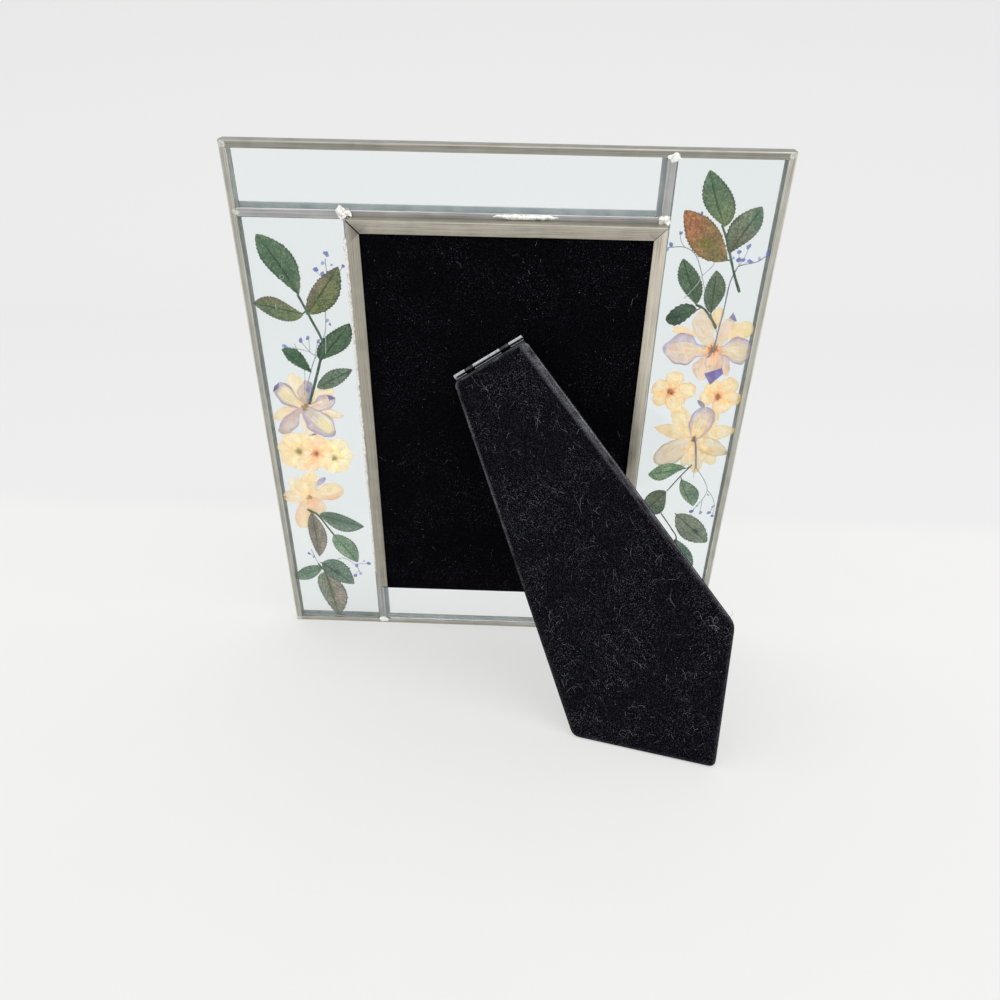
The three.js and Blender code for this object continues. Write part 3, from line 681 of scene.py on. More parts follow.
@dataclass(frozen=True)
class PressedLeaf(Finish):
    """A pressed leaf: matt, papery and mottled, with its veins and a dark dried margin."""

    margin: str = "#1F2E20"
    vein: str = "#2A4032"
    vein_amount: float = 0.6
    painted_glint: str = "#C4D2BC"
    veins: int = 9
    fresh: float = 0.78
    light: float = 2.75
    turn: float = 0.463
    mottle: float = 0.8
    patch: float = 5.0
    cell: float = 0.6
    spark: float = 1.7

    def dress(self, tree: Tree, shader: bpy.types.Node) -> None:
        """Lays mottling, veins, margin and small painted glints over the leaf's own pigment."""
        place = object_place(tree)
        pigment = painted(tree, "pigment", "Color")
        toned = {"Color": pigment, "Hue": self.turn, "Saturation": self.fresh, "Value": self.light}
        strong = add_node(tree, "HueSaturation", toned).outputs[0]
        parts = add_node(tree, "SeparateXYZ", {0: add_node(tree, "UVMap", uv_map="blade").outputs["UV"]})
        along = parts.outputs[0]
        aside = calculate(tree, "ABSOLUTE", calculate(tree, "MULTIPLY_ADD", parts.outputs[1], 2, -1))
        mottle = grey_noise(tree, place, self.mottle, 6)
        patches = grey_noise(tree, place, self.patch, 2)
        cells = scattered(tree, place, self.cell)
        speckle = remap(tree, mottle, 0.34, 0.66, 0, 1)
        colour = blend_colours(tree, speckle, (0.7, 0.75, 0.72, 1), (1.3, 1.26, 1.22, 1))
        colour = blend_colours(tree, 1.0, strong, colour, "MULTIPLY")
        cloudy = remap(tree, patches, 0.35, 0.65, 0, 1)
        shade = blend_colours(tree, cloudy, (0.8, 0.86, 0.82, 1), (1.15, 1.1, 1.06, 1))
        colour = blend_colours(tree, 1.0, colour, shade, "MULTIPLY")
        grain = remap(tree, cells, 0.2, 0.65, 0.0, 0.3)
        colour = blend_colours(tree, grain, colour, self.margin)
        forward = calculate(tree, "MULTIPLY_ADD", aside, -0.3, along)
        wave = calculate(tree, "SINE", calculate(tree, "MULTIPLY", forward, self.veins * math.tau))
        ribs = remap(tree, wave, 0.7, 1.0, 0, 0.45)
        midrib = remap(tree, aside, 0.03, 0.11, 1, 0)
        drawn = calculate(tree, "MULTIPLY", calculate(tree, "MAXIMUM", ribs, midrib), self.vein_amount)
        colour = blend_colours(tree, drawn, colour, self.vein)
        dried = remap(tree, aside, 0.84, 1.0, 0, 0.7)
        colour = blend_colours(tree, dried, colour, self.margin)
        # Small pale specks: painted glints where the light would catch.
        sparks = remap(tree, scattered(tree, place, self.spark), 0.06, 0.16, 0.8, 0)
        lit = calculate(tree, "MULTIPLY", sparks, remap(tree, mottle, 0.4, 0.55, 0, 1))
        colour = blend_colours(tree, lit, colour, self.painted_glint)
        height = calculate(tree, "SUBTRACT", mottle, calculate(tree, "MULTIPLY", drawn, 0.8))
        feed(tree, shader, {
            "Base Color": colour, "Roughness": remap(tree, mottle, 0.3, 0.7, 0.5, 0.75),
            "Specular IOR Level": 0.2, "Normal": relief(tree, height, 0.12, 0.6),
        })


@dataclass(frozen=True)
class PressedPetal(Finish):
    """A pressed petal: tissue thin and half see-through, with fine darker veins from its base."""

    vein: str = "#E2AE78"
    vein_amount: float = 0.3
    rim: str = "#E8B878"
    rim_amount: float = 0.25
    alpha: float = 0.64
    stripes: float = 7
    fresh: float = 0.76
    light: float = 1.36
    through: float = 0.17
    stain: float = 2.6

    def dress(self, tree: Tree, shader: bpy.types.Node) -> None:
        """Lays water marks, veins and a thin dried rim over the petal's own pigment."""
        place = object_place(tree)
        pigment = painted(tree, "pigment", "Color")
        blade = add_node(tree, "UVMap", uv_map="blade").outputs["UV"]
        parts = add_node(tree, "SeparateXYZ", {0: blade})
        aside = calculate(tree, "ABSOLUTE", calculate(tree, "MULTIPLY_ADD", parts.outputs[1], 2, -1))
        stretch = add_node(tree, "Mapping", {"Vector": blade, "Scale": (2.2, 15, 1)}).outputs[0]
        streak = add_node(tree, "TexNoise", {"Vector": stretch, "Scale": 1.0, "Detail": 4}).outputs["Fac"]
        stains = grey_noise(tree, place, self.stain, 5)
        toned = {"Color": pigment, "Saturation": self.fresh, "Value": self.light}
        bright = add_node(tree, "HueSaturation", toned).outputs[0]
        stained = remap(tree, stains, 0.3, 0.7, 0, 1)
        colour = blend_colours(tree, stained, (0.97, 0.9, 0.78, 1), (1.04, 1.05, 1.08, 1))
        colour = blend_colours(tree, 1.0, bright, colour, "MULTIPLY")
        bowed = calculate(tree, "MULTIPLY_ADD", streak, 0.12, parts.outputs[1])
        wave = calculate(tree, "SINE", calculate(tree, "MULTIPLY", bowed, self.stripes * math.tau))
        crest, clear = remap(tree, wave, 0.35, 1.0, 0, 1), remap(tree, streak, 0.4, 0.6, 0.15, 1)
        drawn = calculate(tree, "MULTIPLY", calculate(tree, "MULTIPLY", crest, clear), self.vein_amount)
        colour = blend_colours(tree, drawn, colour, self.vein)
        dried = remap(tree, aside, 0.84, 1.0, 0, self.rim_amount)
        colour = blend_colours(tree, dried, colour, self.rim)
        density = remap(tree, stains, 0.3, 0.7, self.alpha + 0.08, self.alpha - 0.12)
        feed(tree, shader, {
            "Base Color": colour, "Roughness": 0.7, "Specular IOR Level": 0.15,
            "Alpha": calculate(tree, "ADD", density, dried),
            "Normal": relief(tree, calculate(tree, "ADD", streak, stains), 0.08, 0.6),
            # Light comes through the tissue from its other side: a weak glow stands for that.
            "Emission Color": colour, "Emission Strength": self.through,
        })


@dataclass(frozen=True)
class DriedStem(Finish):
    """A dried stem: fibrous and matt, darker in streaks."""

    colour: str = "#5F7458"
    streak: str = "#3C4A3A"

    def dress(self, tree: Tree, shader: bpy.types.Node) -> None:
        """Streaks the stem."""
        place = object_place(tree)
        fibres = grey_noise(tree, place, 0.8)
        streaks = remap(tree, fibres, 0.4, 0.65, 0, 1)
        colour = blend_colours(tree, streaks, self.colour, self.streak)
        normal = relief(tree, fibres, 0.05, 0.5)
        feed(tree, shader, {"Base Color": colour, "Roughness": 0.75, "Normal": normal})


@dataclass(frozen=True)
class LitTable(Finish):
    """A white table lit from inside, so that shadows stay faint, and a backdrop a little greyer."""

    table: str = "#9A9A99"
    backdrop: str = "#939394"
    glow: float = 0.51
    backdrop_from: float = 0.155
    backdrop_to: float = 0.19

    def dress(self, tree: Tree, shader: bpy.types.Node) -> None:
        """Shades the floor from table to backdrop, with the faintest cloudiness."""
        place = object_place(tree)
        depth = add_node(tree, "SeparateXYZ", {0: place}).outputs[1]
        far = remap(tree, depth, self.backdrop_from, self.backdrop_to, 0, 1)
        colour = blend_colours(tree, far, self.table, self.backdrop)
        cloud = remap(tree, grey_noise(tree, place, 40), 0.3, 0.7, 0, 0.12)
        colour = blend_colours(tree, cloud, colour, self.backdrop)
        feed(tree, shader, {
            "Base Color": colour, "Roughness": 0.95, "Specular IOR Level": 0.0,
            "Emission Color": linear("#FFFFFD"), "Emission Strength": self.glow,
        })


CAME = DrawnMetal("drawn_zinc_came", body="#7E7D75", tarnish="#625F58", rubbed="#DCD9CD")
CAME_FACE = DrawnMetal("drawn_zinc_inner_came", body="#737277", tarnish="#5C5B61", rubbed="#E6E5E1")
CHANNEL = DrawnMetal("tinned_channel", body="#8D867C", tarnish="#766F66", rubbed="#D0CABB", roughness=0.5)
# The groove faces behind the glass get a near-white, non-metal copy of the zinc with a faint glow: painted
# light, standing in for the light that the glass carries in.
GROOVE_PAINTED_LIGHT = DrawnMetal(
    "zinc_groove_painted_light", body="#DDE2E0", tarnish="#C2C8C6", rubbed="#E4E8E6", roughness=0.6,
    metallic=0.0, painted_glow=0.1,
)
# The inner cames' groove gets the same painted-light copy, near white and faintly glowing.
CAME_GROOVE_PAINTED_LIGHT = DrawnMetal(
    "inner_came_groove_painted_light", body="#D4DADC", tarnish="#B8C0C3", rubbed="#DDE2E3", roughness=0.6,
    metallic=0.0, painted_glow=0.05,
)
SOLDER = RunSolder("run_solder")
SMEAR = RunSolder("smeared_solder", bright="#D6D4C8", frosted="#A09E92", flux="#B8A878", flux_amount=0.4)
STEEL = PlatedSteel("plated_hinge_steel")
GLASS = WindowGlass("soda_lime_glass")
VELVET = FlockedVelvet("black_flocked_velvet", bloom="#121217", fuzz="#34343B")
WORN_VELVET = FlockedVelvet("black_flocked_velvet_dusty", pile="#08080B", bloom="#222228", fuzz="#5E5E66")
# A darker copy of the hinge steel for the board's recessed knuckles: painted shade.
SHADED_STEEL = PlatedSteel("hinge_steel_painted_shade", colour="#3A3A3E")
LINT = Lint("cotton_lint")
FLOOR = LitTable("white_light_table")


# ---------------------------------------------------------------- cames and channel

# How a drawn length wanders along its run, and the fine dents of its handling.
WOBBLE_LONG = 28.0
DENT_SIZE = 3.0
DENT_DEPTH = 0.02


@dataclass
class ChannelLength:
    """A straight length of U-channel, web on the outside, with mitred or sawn ends."""

    node: str
    side: str
    skin: float
    web: float
    round_edge: float
    finish: DrawnMetal
    slot: Slot
    mitre_low: bool = True
    mitre_high: bool = True
    lip: float = 0.12
    station: float = 4.0
    wobble: float = 0.05
    crown_wear_and_highlight: float = 0.6
    open_low: float = 0.0
    open_high: float = 0.0

    TURNS = {"top": 0.0, "bottom": math.pi, "left": -math.pi / 2, "right": math.pi / 2}

    def build(self) -> Piece:
        """Draws the section, extrudes it, rounds it, cuts its ends and puts it in place."""
        low, high = PANEL.box(self.node)
        flat = self.side in ("top", "bottom")
        length = high.x - low.x if flat else high.z - low.z
        face = high.z - low.z if flat else high.x - low.x
        depth = high.y - low.y
        bm = bmesh.new()
        inner, outer = self.skin, depth - self.skin
        outline = [
            (0, -face), (0, 0), (depth, 0), (depth, -face),
            (outer, -face), (outer, -self.web), (inner, -self.web), (inner, -face),
        ]
        section = bm.faces.new([bm.verts.new((-length / 2, y, z)) for y, z in outline])
        grown = bmesh.ops.extrude_face_region(bm, geom=[section])["geom"]
        moved = [item for item in grown if isinstance(item, bmesh.types.BMVert)]
        bmesh.ops.translate(bm, verts=moved, vec=(length, 0, 0))
        self._round(bm, lambda mid: abs(mid.z) < 1e-4, self.round_edge, 5)
        self._round(bm, lambda mid: abs(mid.z + face) < 1e-4, self.lip, 2)
        self._cut_ends(bm, length)
        count = max(2, round(length / self.station))
        for i in range(1, count):
            cut_through(bm, Vector((-length / 2 + length * i / count, 0, 0)), Vector((1, 0, 0)))
        self._mark(bm, face, depth)
        self._place(bm, low, high, depth)
        # The groove faces behind the glass take the painted-light copy.
        finishes = [self.finish, GROOVE_PAINTED_LIGHT]
        return make_piece(self.node + "_metal", bm, finishes, Body.FRAME, [self.node])

    @staticmethod
    def _round(bm: Mesh, chosen: Callable[[Vector], bool], radius: float, segments: int) -> None:
        """Rounds the long edges at one height."""
        edges = []
        for edge in bm.edges:
            a, b = (vert.co for vert in edge.verts)
            if abs(a.x - b.x) > 1 and chosen((a + b) / 2):
                edges.append(edge)
        round_over(bm, edges, radius, segments)

    def _cut_ends(self, bm: Mesh, length: float) -> None:
        """Saws each mitred end off at 45 degrees."""
        ends = ((self.mitre_low, -1, self.open_low), (self.mitre_high, 1, self.open_high))
        for mitred, sign, gap in ends:
            if mitred:
                corner = Vector((sign * (length / 2 - gap), 0, 0))
                cut = cut_through(bm, corner, Vector((sign, 0, -1)), clear=True)
                rim = [item for item in cut if isinstance(item, bmesh.types.BMEdge)]
                bmesh.ops.holes_fill(bm, edges=rim)

    def _mark(self, bm: Mesh, face: float, depth: float) -> None:
        """Sets how much rubbing and painted highlight each point has, lays the run's UV map and works in
        the hand's wobble.
        """
        edge_wear_and_highlight = bm.verts.layers.float.new("edge_wear_and_highlight")
        run = bm.loops.layers.uv.new("run")
        for item in bm.faces:
            for loop in item.loops:
                co = loop.vert.co
                loop[run].uv = (co.x, co.y + co.z)
        for item in bm.faces:
            middle = item.calc_center_median()
            inner = self.skin - 0.05 < middle.y < depth - self.skin + 0.05
            # Faces of the groove behind the glass take material 1, the painted-light copy.
            item.material_index = int(inner and middle.z < 0.05 - self.web and abs(item.normal.x) < 0.5)
        for vert in bm.verts:
            # Ridges, lips and the outer face get the light edge colour: partly rubbing, partly painted
            # highlight.
            ridge = 1 - smooth_step(abs(vert.co.z + self.round_edge * 0.5), 0.1, 0.5)
            lip = 1 - smooth_step(abs(vert.co.z + face), 0.1, 0.4)
            outside = 1 - smooth_step(min(vert.co.y, depth - vert.co.y), 0.2, 0.6)
            crown_wear_and_highlight = 1 - smooth_step(-vert.co.z, 0.02, 0.2)
            vert[edge_wear_and_highlight] = max(max(ridge, lip * 0.8) * outside, crown_wear_and_highlight * self.crown_wear_and_highlight)
            slow = wander(Vector((vert.co.x, 0, 0)), WOBBLE_LONG, self.wobble)
            vert.co += Vector((0, slow.y, slow.z)) + wander(vert.co, DENT_SIZE, DENT_DEPTH)

    def _place(self, bm: Mesh, low: Vector, high: Vector, depth: float) -> None:
        """Turns the length to its side of the frame and moves it there."""
        middle = (low + high) / 2
        spots = {
            "top": Vector((middle.x, low.y, high.z)),
            "bottom": Vector((middle.x, low.y, low.z)),
            "left": Vector((low.x, low.y, middle.z)),
            "right": Vector((high.x, low.y, middle.z)),
        }
        turn = Matrix.Rotation(self.TURNS[self.side], 4, "Y")
        bm.transform(Matrix.Translation(spots[self.side]) @ turn)


@dataclass
class InnerCame:
    """An H-section came between two panes, with flanges wider on the display side."""

    node: str
    station: float = 4.0
    edge: float = 0.22
    flange: float = 0.8
    half_back: float = 1.35
    half_display: float = 2.6
    wear_and_highlight_from: float = 0.35
    wear_and_highlight_full: float = 0.1
    wobble: float = 0.06

    def build(self) -> Piece:
        """Rounds the came's edges, cuts it into stations and marks it."""
        bm = PANEL.copy_of(self.node)
        low, high = PANEL.box(self.node)
        along, across = Vector((0, 0, 1)), Vector((1, 0, 0))
        if high.x - low.x > high.z - low.z:
            along, across = across, along
        self._round_flanges(bm, low, high, along)
        length = (high - low).dot(along)
        count = round(length / self.station)
        for i in range(1, count):
            cut_through(bm, low + along * (length * i / count), along)
        self._mark(bm, along, across, (low + high).dot(across) / 2)
        # The groove faces behind the glass take the painted-light copy.
        finishes = [CAME_FACE, CAME_GROOVE_PAINTED_LIGHT]
        return make_piece(self.node + "_metal", bm, finishes, Body.FRAME, [self.node])

    def _round_flanges(self, bm: Mesh, low: Vector, high: Vector, along: Vector) -> None:
        """Rounds the long edges of both flanges."""
        long_edges = []
        for edge in bm.edges:
            run = edge.verts[1].co - edge.verts[0].co
            faces = edge.link_faces
            turned = len(faces) == 2 and faces[0].normal.angle(faces[1].normal) > 0.5
            flange = all(min(vert.co.y - low.y, high.y - vert.co.y) < self.flange for vert in edge.verts)
            if abs(run.dot(along)) > 5 and turned and flange:
                long_edges.append(edge)
        round_over(bm, long_edges, self.edge, 3)

    def _mark(self, bm: Mesh, along: Vector, across: Vector, middle: float) -> None:
        """Picks out the groove behind the glass for its painted-light copy, marks the edges with rubbing
        and painted highlight and works in the hand's wobble.
        """
        edge_wear_and_highlight = bm.verts.layers.float.new("edge_wear_and_highlight")
        run_map = bm.loops.layers.uv.new("run")
        for face in bm.faces:
            centre = face.calc_center_median()
            off = abs(centre.dot(across) - middle)
            facing_back = face.normal.y < -0.5 and centre.y > 1.5
            side = abs(face.normal.dot(across)) > 0.5 and 1 < centre.y < 4.6 and off < 2
            face.material_index = int(facing_back or side)
            for loop in face.loops:
                loop[run_map].uv = (loop.vert.co.dot(along), loop.vert.co.dot(across) + loop.vert.co.y)
        for vert in bm.verts:
            off = abs(vert.co.dot(across) - middle)
            half = self.half_back if vert.co.y < 1 else self.half_display
            # The flange edges get the light edge colour: partly rubbing, partly painted highlight.
            vert[edge_wear_and_highlight] = smooth_step(off, half - self.wear_and_highlight_from, half - self.wear_and_highlight_full)
            slow = wander(Vector((vert.co.dot(along), 3, 0)), WOBBLE_LONG, self.wobble)
            shift = Vector((slow.x * across.x, slow.y * 0.4, slow.x * across.z))
            vert.co += shift + wander(vert.co, DENT_SIZE, DENT_DEPTH)


@dataclass(frozen=True)
class Lump:
    """One solder lump: how ragged it is, the size of its bumps in millimetres, how far it stands out, how
    much of its CAD drop it covers, and if it is a dull smear."""

    ragged: float
    size: float
    height: float
    cover: float
    dull: bool = False


@dataclass
class SolderWork:
    """The solder lumps on the joints and the bead down the channel's left arm."""

    lumps: dict[str, Lump] = field(
        default_factory=lambda: {
            "solder_corner_top_left": Lump(0.5, 1.7, 0.22, 0.9, dull=True),
            "solder_corner_top_right": Lump(0.5, 1.7, 0.22, 0.9, dull=True),
            "solder_corner_bottom_left": Lump(0.4, 1.8, 0.3, 0.9, dull=True),
            "solder_corner_bottom_right": Lump(0.4, 1.8, 0.3, 0.9, dull=True),
            "solder_joint_top": Lump(0.95, 1.1, 0.4, 0.74),
            "solder_joint_left": Lump(0.5, 1.6, 0.25, 0.85, dull=True),
            "solder_joint_bottom": Lump(0.5, 1.6, 0.45, 0.95),
            "solder_channel_left": Lump(1.25, 1.3, 0.6, 0.74),
            "solder_channel_middle": Lump(0.4, 1.9, 0.6, 1.0),
            "solder_channel_right": Lump(1.1, 1.2, 0.5, 0.7),
        }
    )
    seam: str = "solder_channel_seam"
    seam_radius: float = 0.85
    seam_steps: int = 220
    seam_sides: int = 14
    widest_spread: float = 1.4

    def build(self) -> list[Piece]:
        """Makes every lump and the bead."""
        return [*(self._lump(node, lump) for node, lump in self.lumps.items()), self._bead()]

    def _lump(self, node: str, lump: Lump) -> Piece:
        """Makes one ragged lump on the box of its CAD drop."""
        low, high = PANEL.box(node)
        middle = Vector(((low.x + high.x) / 2, high.y, (low.z + high.z) / 2))
        wide, tall = (high.x - low.x) / 2 * lump.cover, (high.z - low.z) / 2 * lump.cover
        reach = Vector((wide, (high.y - low.y) * lump.height, tall))
        spread = min(reach.x, reach.z, self.widest_spread)
        bm = bmesh.new()
        bmesh.ops.create_icosphere(bm, subdivisions=5, radius=1)
        for vert in bm.verts:
            unit = vert.co.copy()
            vert.co = middle + Vector((unit.x * reach.x, unit.y * reach.y, unit.z * reach.z))
            bumps = wander(vert.co, lump.size, lump.ragged)
            bumps += wander(vert.co, lump.size * 0.35, lump.ragged * 0.18)
            vert.co += Vector((bumps.x * spread, bumps.y * reach.y * 0.6, bumps.z * spread))
            vert.co.y = min(vert.co.y, high.y)
        skin = SMEAR if lump.dull else SOLDER
        return make_piece(node + "_run", bm, [skin], Body.FRAME, [node], sharp_deg=80)

    def _bead(self) -> Piece:
        """Makes the long lumpy bead beside the channel's left arm, thicker towards its top."""
        low, high = PANEL.box(self.seam)
        bm = bmesh.new()
        path, radii = [], []
        for i in range(self.seam_steps + 1):
            part = i / self.seam_steps
            z = low.z + (high.z - low.z) * i / self.seam_steps
            path.append(Vector((high.x - 1.0, high.y - 0.7, z)))
            swell = noise.noise(Vector((0, 0, z / 1.6))) * 0.45 + noise.noise(Vector((5, 0, z / 9))) * 0.25
            radii.append(self.seam_radius * (0.62 + 0.38 * part + swell))
        sweep(bm, path, radii, sides=self.seam_sides)
        for vert in bm.verts:
            vert.co += wander(vert.co, 0.9, 0.4)
            vert.co.x = min(vert.co.x, high.x)
            vert.co.y = min(vert.co.y, high.y)
        return make_piece(
            self.seam + "_run", bm, [SOLDER], Body.FRAME, [self.seam], sharp_deg=80
        )


def painted_light_tone(finish: DrawnMetal, node: str, amount: float) -> DrawnMetal:
    """Gives one length a lighter or darker copy of a drawn metal: painted light, darker on the top lengths
    and the channel's left arm, lighter on the right ones, as the light falls.

    Args:
        finish: The metal.
        node: The length.
        amount: How much lighter its colours are, as a factor.

    Returns:
        The finish in that tone.
    """
    lit_codes = {}
    for name in ("body", "tarnish", "rubbed"):
        code = getattr(finish, name)
        parts = [min(round(int(code[i:i + 2], 16) * amount), 255) for i in (1, 3, 5)]
        lit_codes[name] = "#" + "".join(f"{part:02X}" for part in parts)
    return replace(finish, name=f"{finish.name}_{node}", **lit_codes)


@dataclass
class LeadedFrame:
    """The outer rails, the inner cames, the glass and the solder."""

    skin: float = 0.7
    web: float = 0.9
    round_edge: float = 0.6

    def build(self) -> None:
        """Makes the metal, then dresses the panes."""
        # Each rail gets painted light: the top one darker, the right one lighter.
        for side, light_factor in (("top", 0.84), ("bottom", 1.0), ("left", 1.0), ("right", 1.05)):
            metal = painted_light_tone(CAME, side, light_factor)
            ChannelLength(
                "rail_" + side, side, self.skin, self.web, self.round_edge, metal, Slot.CAME
            ).build()
        for node in ("came_right_upright", "came_left_upright", "came_upper", "came_lower"):
            InnerCame(node).build()
        # The channel's left mitre stands open, its right one is tight.
        # The channel's lengths get painted light as well: the top and left darker, the right lighter.
        for side, light_factor, low_mitre, high_mitre, open_low, open_high in (
            ("top", 0.93, True, True, 0.22, 0.03),
            ("left", 0.89, False, True, 0, 0.22),
            ("right", 1.09, True, False, 0.03, 0),
        ):
            metal = painted_light_tone(CHANNEL, side, light_factor)
            ChannelLength(
                "channel_" + side, side, 0.6, 0.8, 0.35, metal, Slot.CHANNEL, low_mitre, high_mitre,
                crown_wear_and_highlight=0.8, open_low=open_low, open_high=open_high,
            ).build()
        SolderWork().build()
        for name, node in frame["nodes"].items():
            if name.startswith("pane_") or name.endswith("_sheet"):
                node.data.materials.clear()
                node.data.materials.append(GLASS.material())


# ---------------------------------------------------------------- pressed plants


@dataclass(frozen=True)
class Hues:
    """The pigments of one leaf or petal: along it, towards its rim, and in spots."""

    base: str
    tip: str
    rim: str | None = None
    rim_from: float = 0.55
    left: str | None = None
    right: str | None = None
    spots: tuple[tuple[float, float, float, str], ...] = ()
    heart: str | None = None
    heart_to: float = 0.32

    def at(self, t: float, s: float) -> Vector:
        """Gives the linear colour at a place on the blade.

        Args:
            t: From 0 at the base to 1 at the tip.
            s: From -1 at the right rim to 1 at the left rim.

        Returns:
            Red, green, blue and alpha.
        """
        colour = Vector(linear(self.base)).lerp(Vector(linear(self.tip)), smooth_step(t, 0.1, 0.95))
        for side, code in ((s, self.left), (-s, self.right)):
            if code:
                colour = colour.lerp(Vector(linear(code)), smooth_step(side, 0.1, 0.9))
        if self.rim:
            near_rim = max(abs(s), smooth_step(t, 0.55, 1.0))
            colour = colour.lerp(Vector(linear(self.rim)), smooth_step(near_rim, self.rim_from, 1.0))
        for spot_t, spot_s, size, code in self.spots:
            away = math.hypot((t - spot_t) * 1.6, (s - spot_s) * 0.6)
            colour = colour.lerp(Vector(linear(code)), 1 - smooth_step(away, size * 0.35, size))
        if self.heart:
            near_base = 1 - smooth_step(t, self.heart_to * 0.3, self.heart_to)
            colour = colour.lerp(Vector(linear(self.heart)), near_base)
        return colour


@dataclass(frozen=True)
class Blade:
    """One leaf or petal, from its base to its tip on the panel."""

    base: Spot
    tip: Spot
    left: Spot
    right: Spot
    hues: Hues
    full: float = 0.78
    bow: float = 0.0
    teeth: int = 0
    ruffle: float = 0.05
    crinkle: float = 0.0
    notch: float = 0.0
    material: int = 0
    outline: tuple[Spot, ...] = ()
    angular: bool = False

    def grow(
        self, bm: Mesh, depth: float, thickness: float, along: int, across: int, seed: float
    ) -> None:
        """Adds the blade to a mesh, from a grid.

        Args:
            bm: The mesh, in panel millimetres, with its layers made.
            depth: The blade's depth in the panel.
            thickness: How thick it is.
            along: Grid steps along it.
            across: Grid steps across it.
            seed: Where its noise is read.
        """
        pigment = bm.verts.layers.float_color["pigment"]
        blade_map = bm.loops.layers.uv["blade"]
        made = bmesh.ops.create_grid(bm, x_segments=along, y_segments=across, size=0.5)["verts"]
        faces = faces_at(made)
        for face in faces:
            face.material_index = self.material
            for loop in face.loops:
                loop[blade_map].uv = (loop.vert.co.x + 0.5, loop.vert.co.y + 0.5)
        start = Vector((self.base[0], 0, self.base[1]))
        axis = Vector((self.tip[0], 0, self.tip[1])) - start
        side = Vector((-axis.z, 0, axis.x)).normalized()
        edges = self._drawn_edges() if self.outline else None
        for vert in made:
            t, s = vert.co.x + 0.5, vert.co.y * 2
            if edges:
                half = self._drawn_half(t, edges[0] if s >= 0 else edges[1])
            else:
                half = self._half(t, self.left if s >= 0 else self.right)
            if self.crinkle:
                half *= 1 + self.crinkle * noise.noise(Vector((t * 6, math.copysign(3, s), seed)))
            half += self._tooth(t) * abs(s) ** 5
            bowed = self.bow * math.sin(math.pi * t)
            pull = self.notch * smooth_step(t, 0.75, 1.0) * (1 - abs(s)) ** 2
            flat = start + axis * (t - pull) + side * (half * s + bowed)
            wave = noise.noise(flat / 4 + Vector((0, seed, 0))) * self.ruffle
            rib = 0.05 * math.exp(-((s / 0.1) ** 2)) * math.sin(math.pi * t)
            vert.co = Vector((flat.x, depth + wave - rib, flat.z))
            vert[pigment] = self.hues.at(t, s)
        bmesh.ops.remove_doubles(bm, verts=made, dist=0.004)
        left_over = [face for face in faces if face.is_valid]
        copied = bmesh.ops.extrude_face_region(bm, geom=left_over, use_keep_orig=True)["geom"]
        raised = [item for item in copied if isinstance(item, bmesh.types.BMVert)]
        bmesh.ops.translate(bm, verts=raised, vec=(0, thickness, 0))
        alive = [vert for vert in (*raised, *made) if vert.is_valid]
        bmesh.ops.recalc_face_normals(bm, faces=faces_at(alive))

    def _half(self, t: float, width: Spot) -> float:
        """Gives the half width at a place along the blade."""
        if t <= 0 or t >= 1:
            return 0.0
        return width[0] * math.sin(math.pi * t ** (math.log(0.5) / math.log(width[1]))) ** self.full

    def _tooth(self, t: float) -> float:
        """Gives how far a margin tooth stands out at a place along the blade."""
        if not self.teeth:
            return 0.0
        phase = t * self.teeth % 1
        return 0.6 * (phase - 0.4) * min(1.0, 6 * t, 6 * (1 - t))

    def _drawn_edges(self) -> tuple[list[Spot], list[Spot]]:
        """Splits the drawn outline into half widths along the left and the right side."""
        start = Vector(self.base)
        axis = Vector(self.tip) - start
        sides: tuple[list[Spot], list[Spot]] = ([(0.0, 0.0)], [(0.0, 0.0)])
        for point in self.outline:
            away = Vector(point) - start
            t = min(max(away.dot(axis) / axis.length_squared, 0.03), 0.97)
            off = (axis.x * away.y - axis.y * away.x) / axis.length
            sides[0 if off >= 0 else 1].append((t, abs(off)))
        return sorted([*sides[0], (1.0, 0.0)]), sorted([*sides[1], (1.0, 0.0)])

    def _drawn_half(self, t: float, edge: list[Spot]) -> float:
        """Reads the half width between two points of a drawn edge."""
        i = max(1, next((i for i, (to, _) in enumerate(edge) if to >= t), len(edge) - 1))
        (t0, h0), (t1, h1) = edge[i - 1], edge[i]
        u = min(max((t - t0) / max(t1 - t0, 1e-6), 0.0), 1.0)
        if self.angular:
            return h0 + (h1 - h0) * u
        if i == 1:
            return h1 * u**0.6
        if i == len(edge) - 1:
            return h0 * (1 - u) ** 0.5
        before = edge[i - 2][1]
        after = edge[i + 1][1]
        curve = h0 * 2 + (h1 - before) * u + (before * 2 - h0 * 5 + h1 * 4 - after) * u**2
        return max(0.5 * (curve + (h0 * 3 - before - h1 * 3 + after) * u**3), 0.0)


def new_plant() -> Mesh:
    """Gives an empty mesh with the layers that plants use."""
    bm = bmesh.new()
    bm.verts.layers.float_color.new("pigment")
    bm.loops.layers.uv.new("blade")
    return bm


@dataclass(frozen=True)
class Stem:
    """A dried stem laid through given points on the panel."""

    points: tuple[Spot, ...]
    radius: float = 0.32
    taper: float = 0.6
    material: int = 1

    def grow(self, bm: Mesh, depth: float, sides: int = 8) -> None:
        """Adds the stem to a mesh.

        Args:
            bm: The mesh, in panel millimetres.
            depth: The stem's depth in the panel.
            sides: Sides of its section.
        """
        laid = smooth_path([Vector((x, depth, z)) for x, z in self.points], 5)
        radii = []
        for i, point in enumerate(laid):
            fade = 1 + (self.taper - 1) * i / (len(laid) - 1)
            radii.append(self.radius * fade * (1 + 0.25 * noise.noise(point / 1.7)))
        sweep(bm, laid, radii, sides, self.material, flat=0.6)


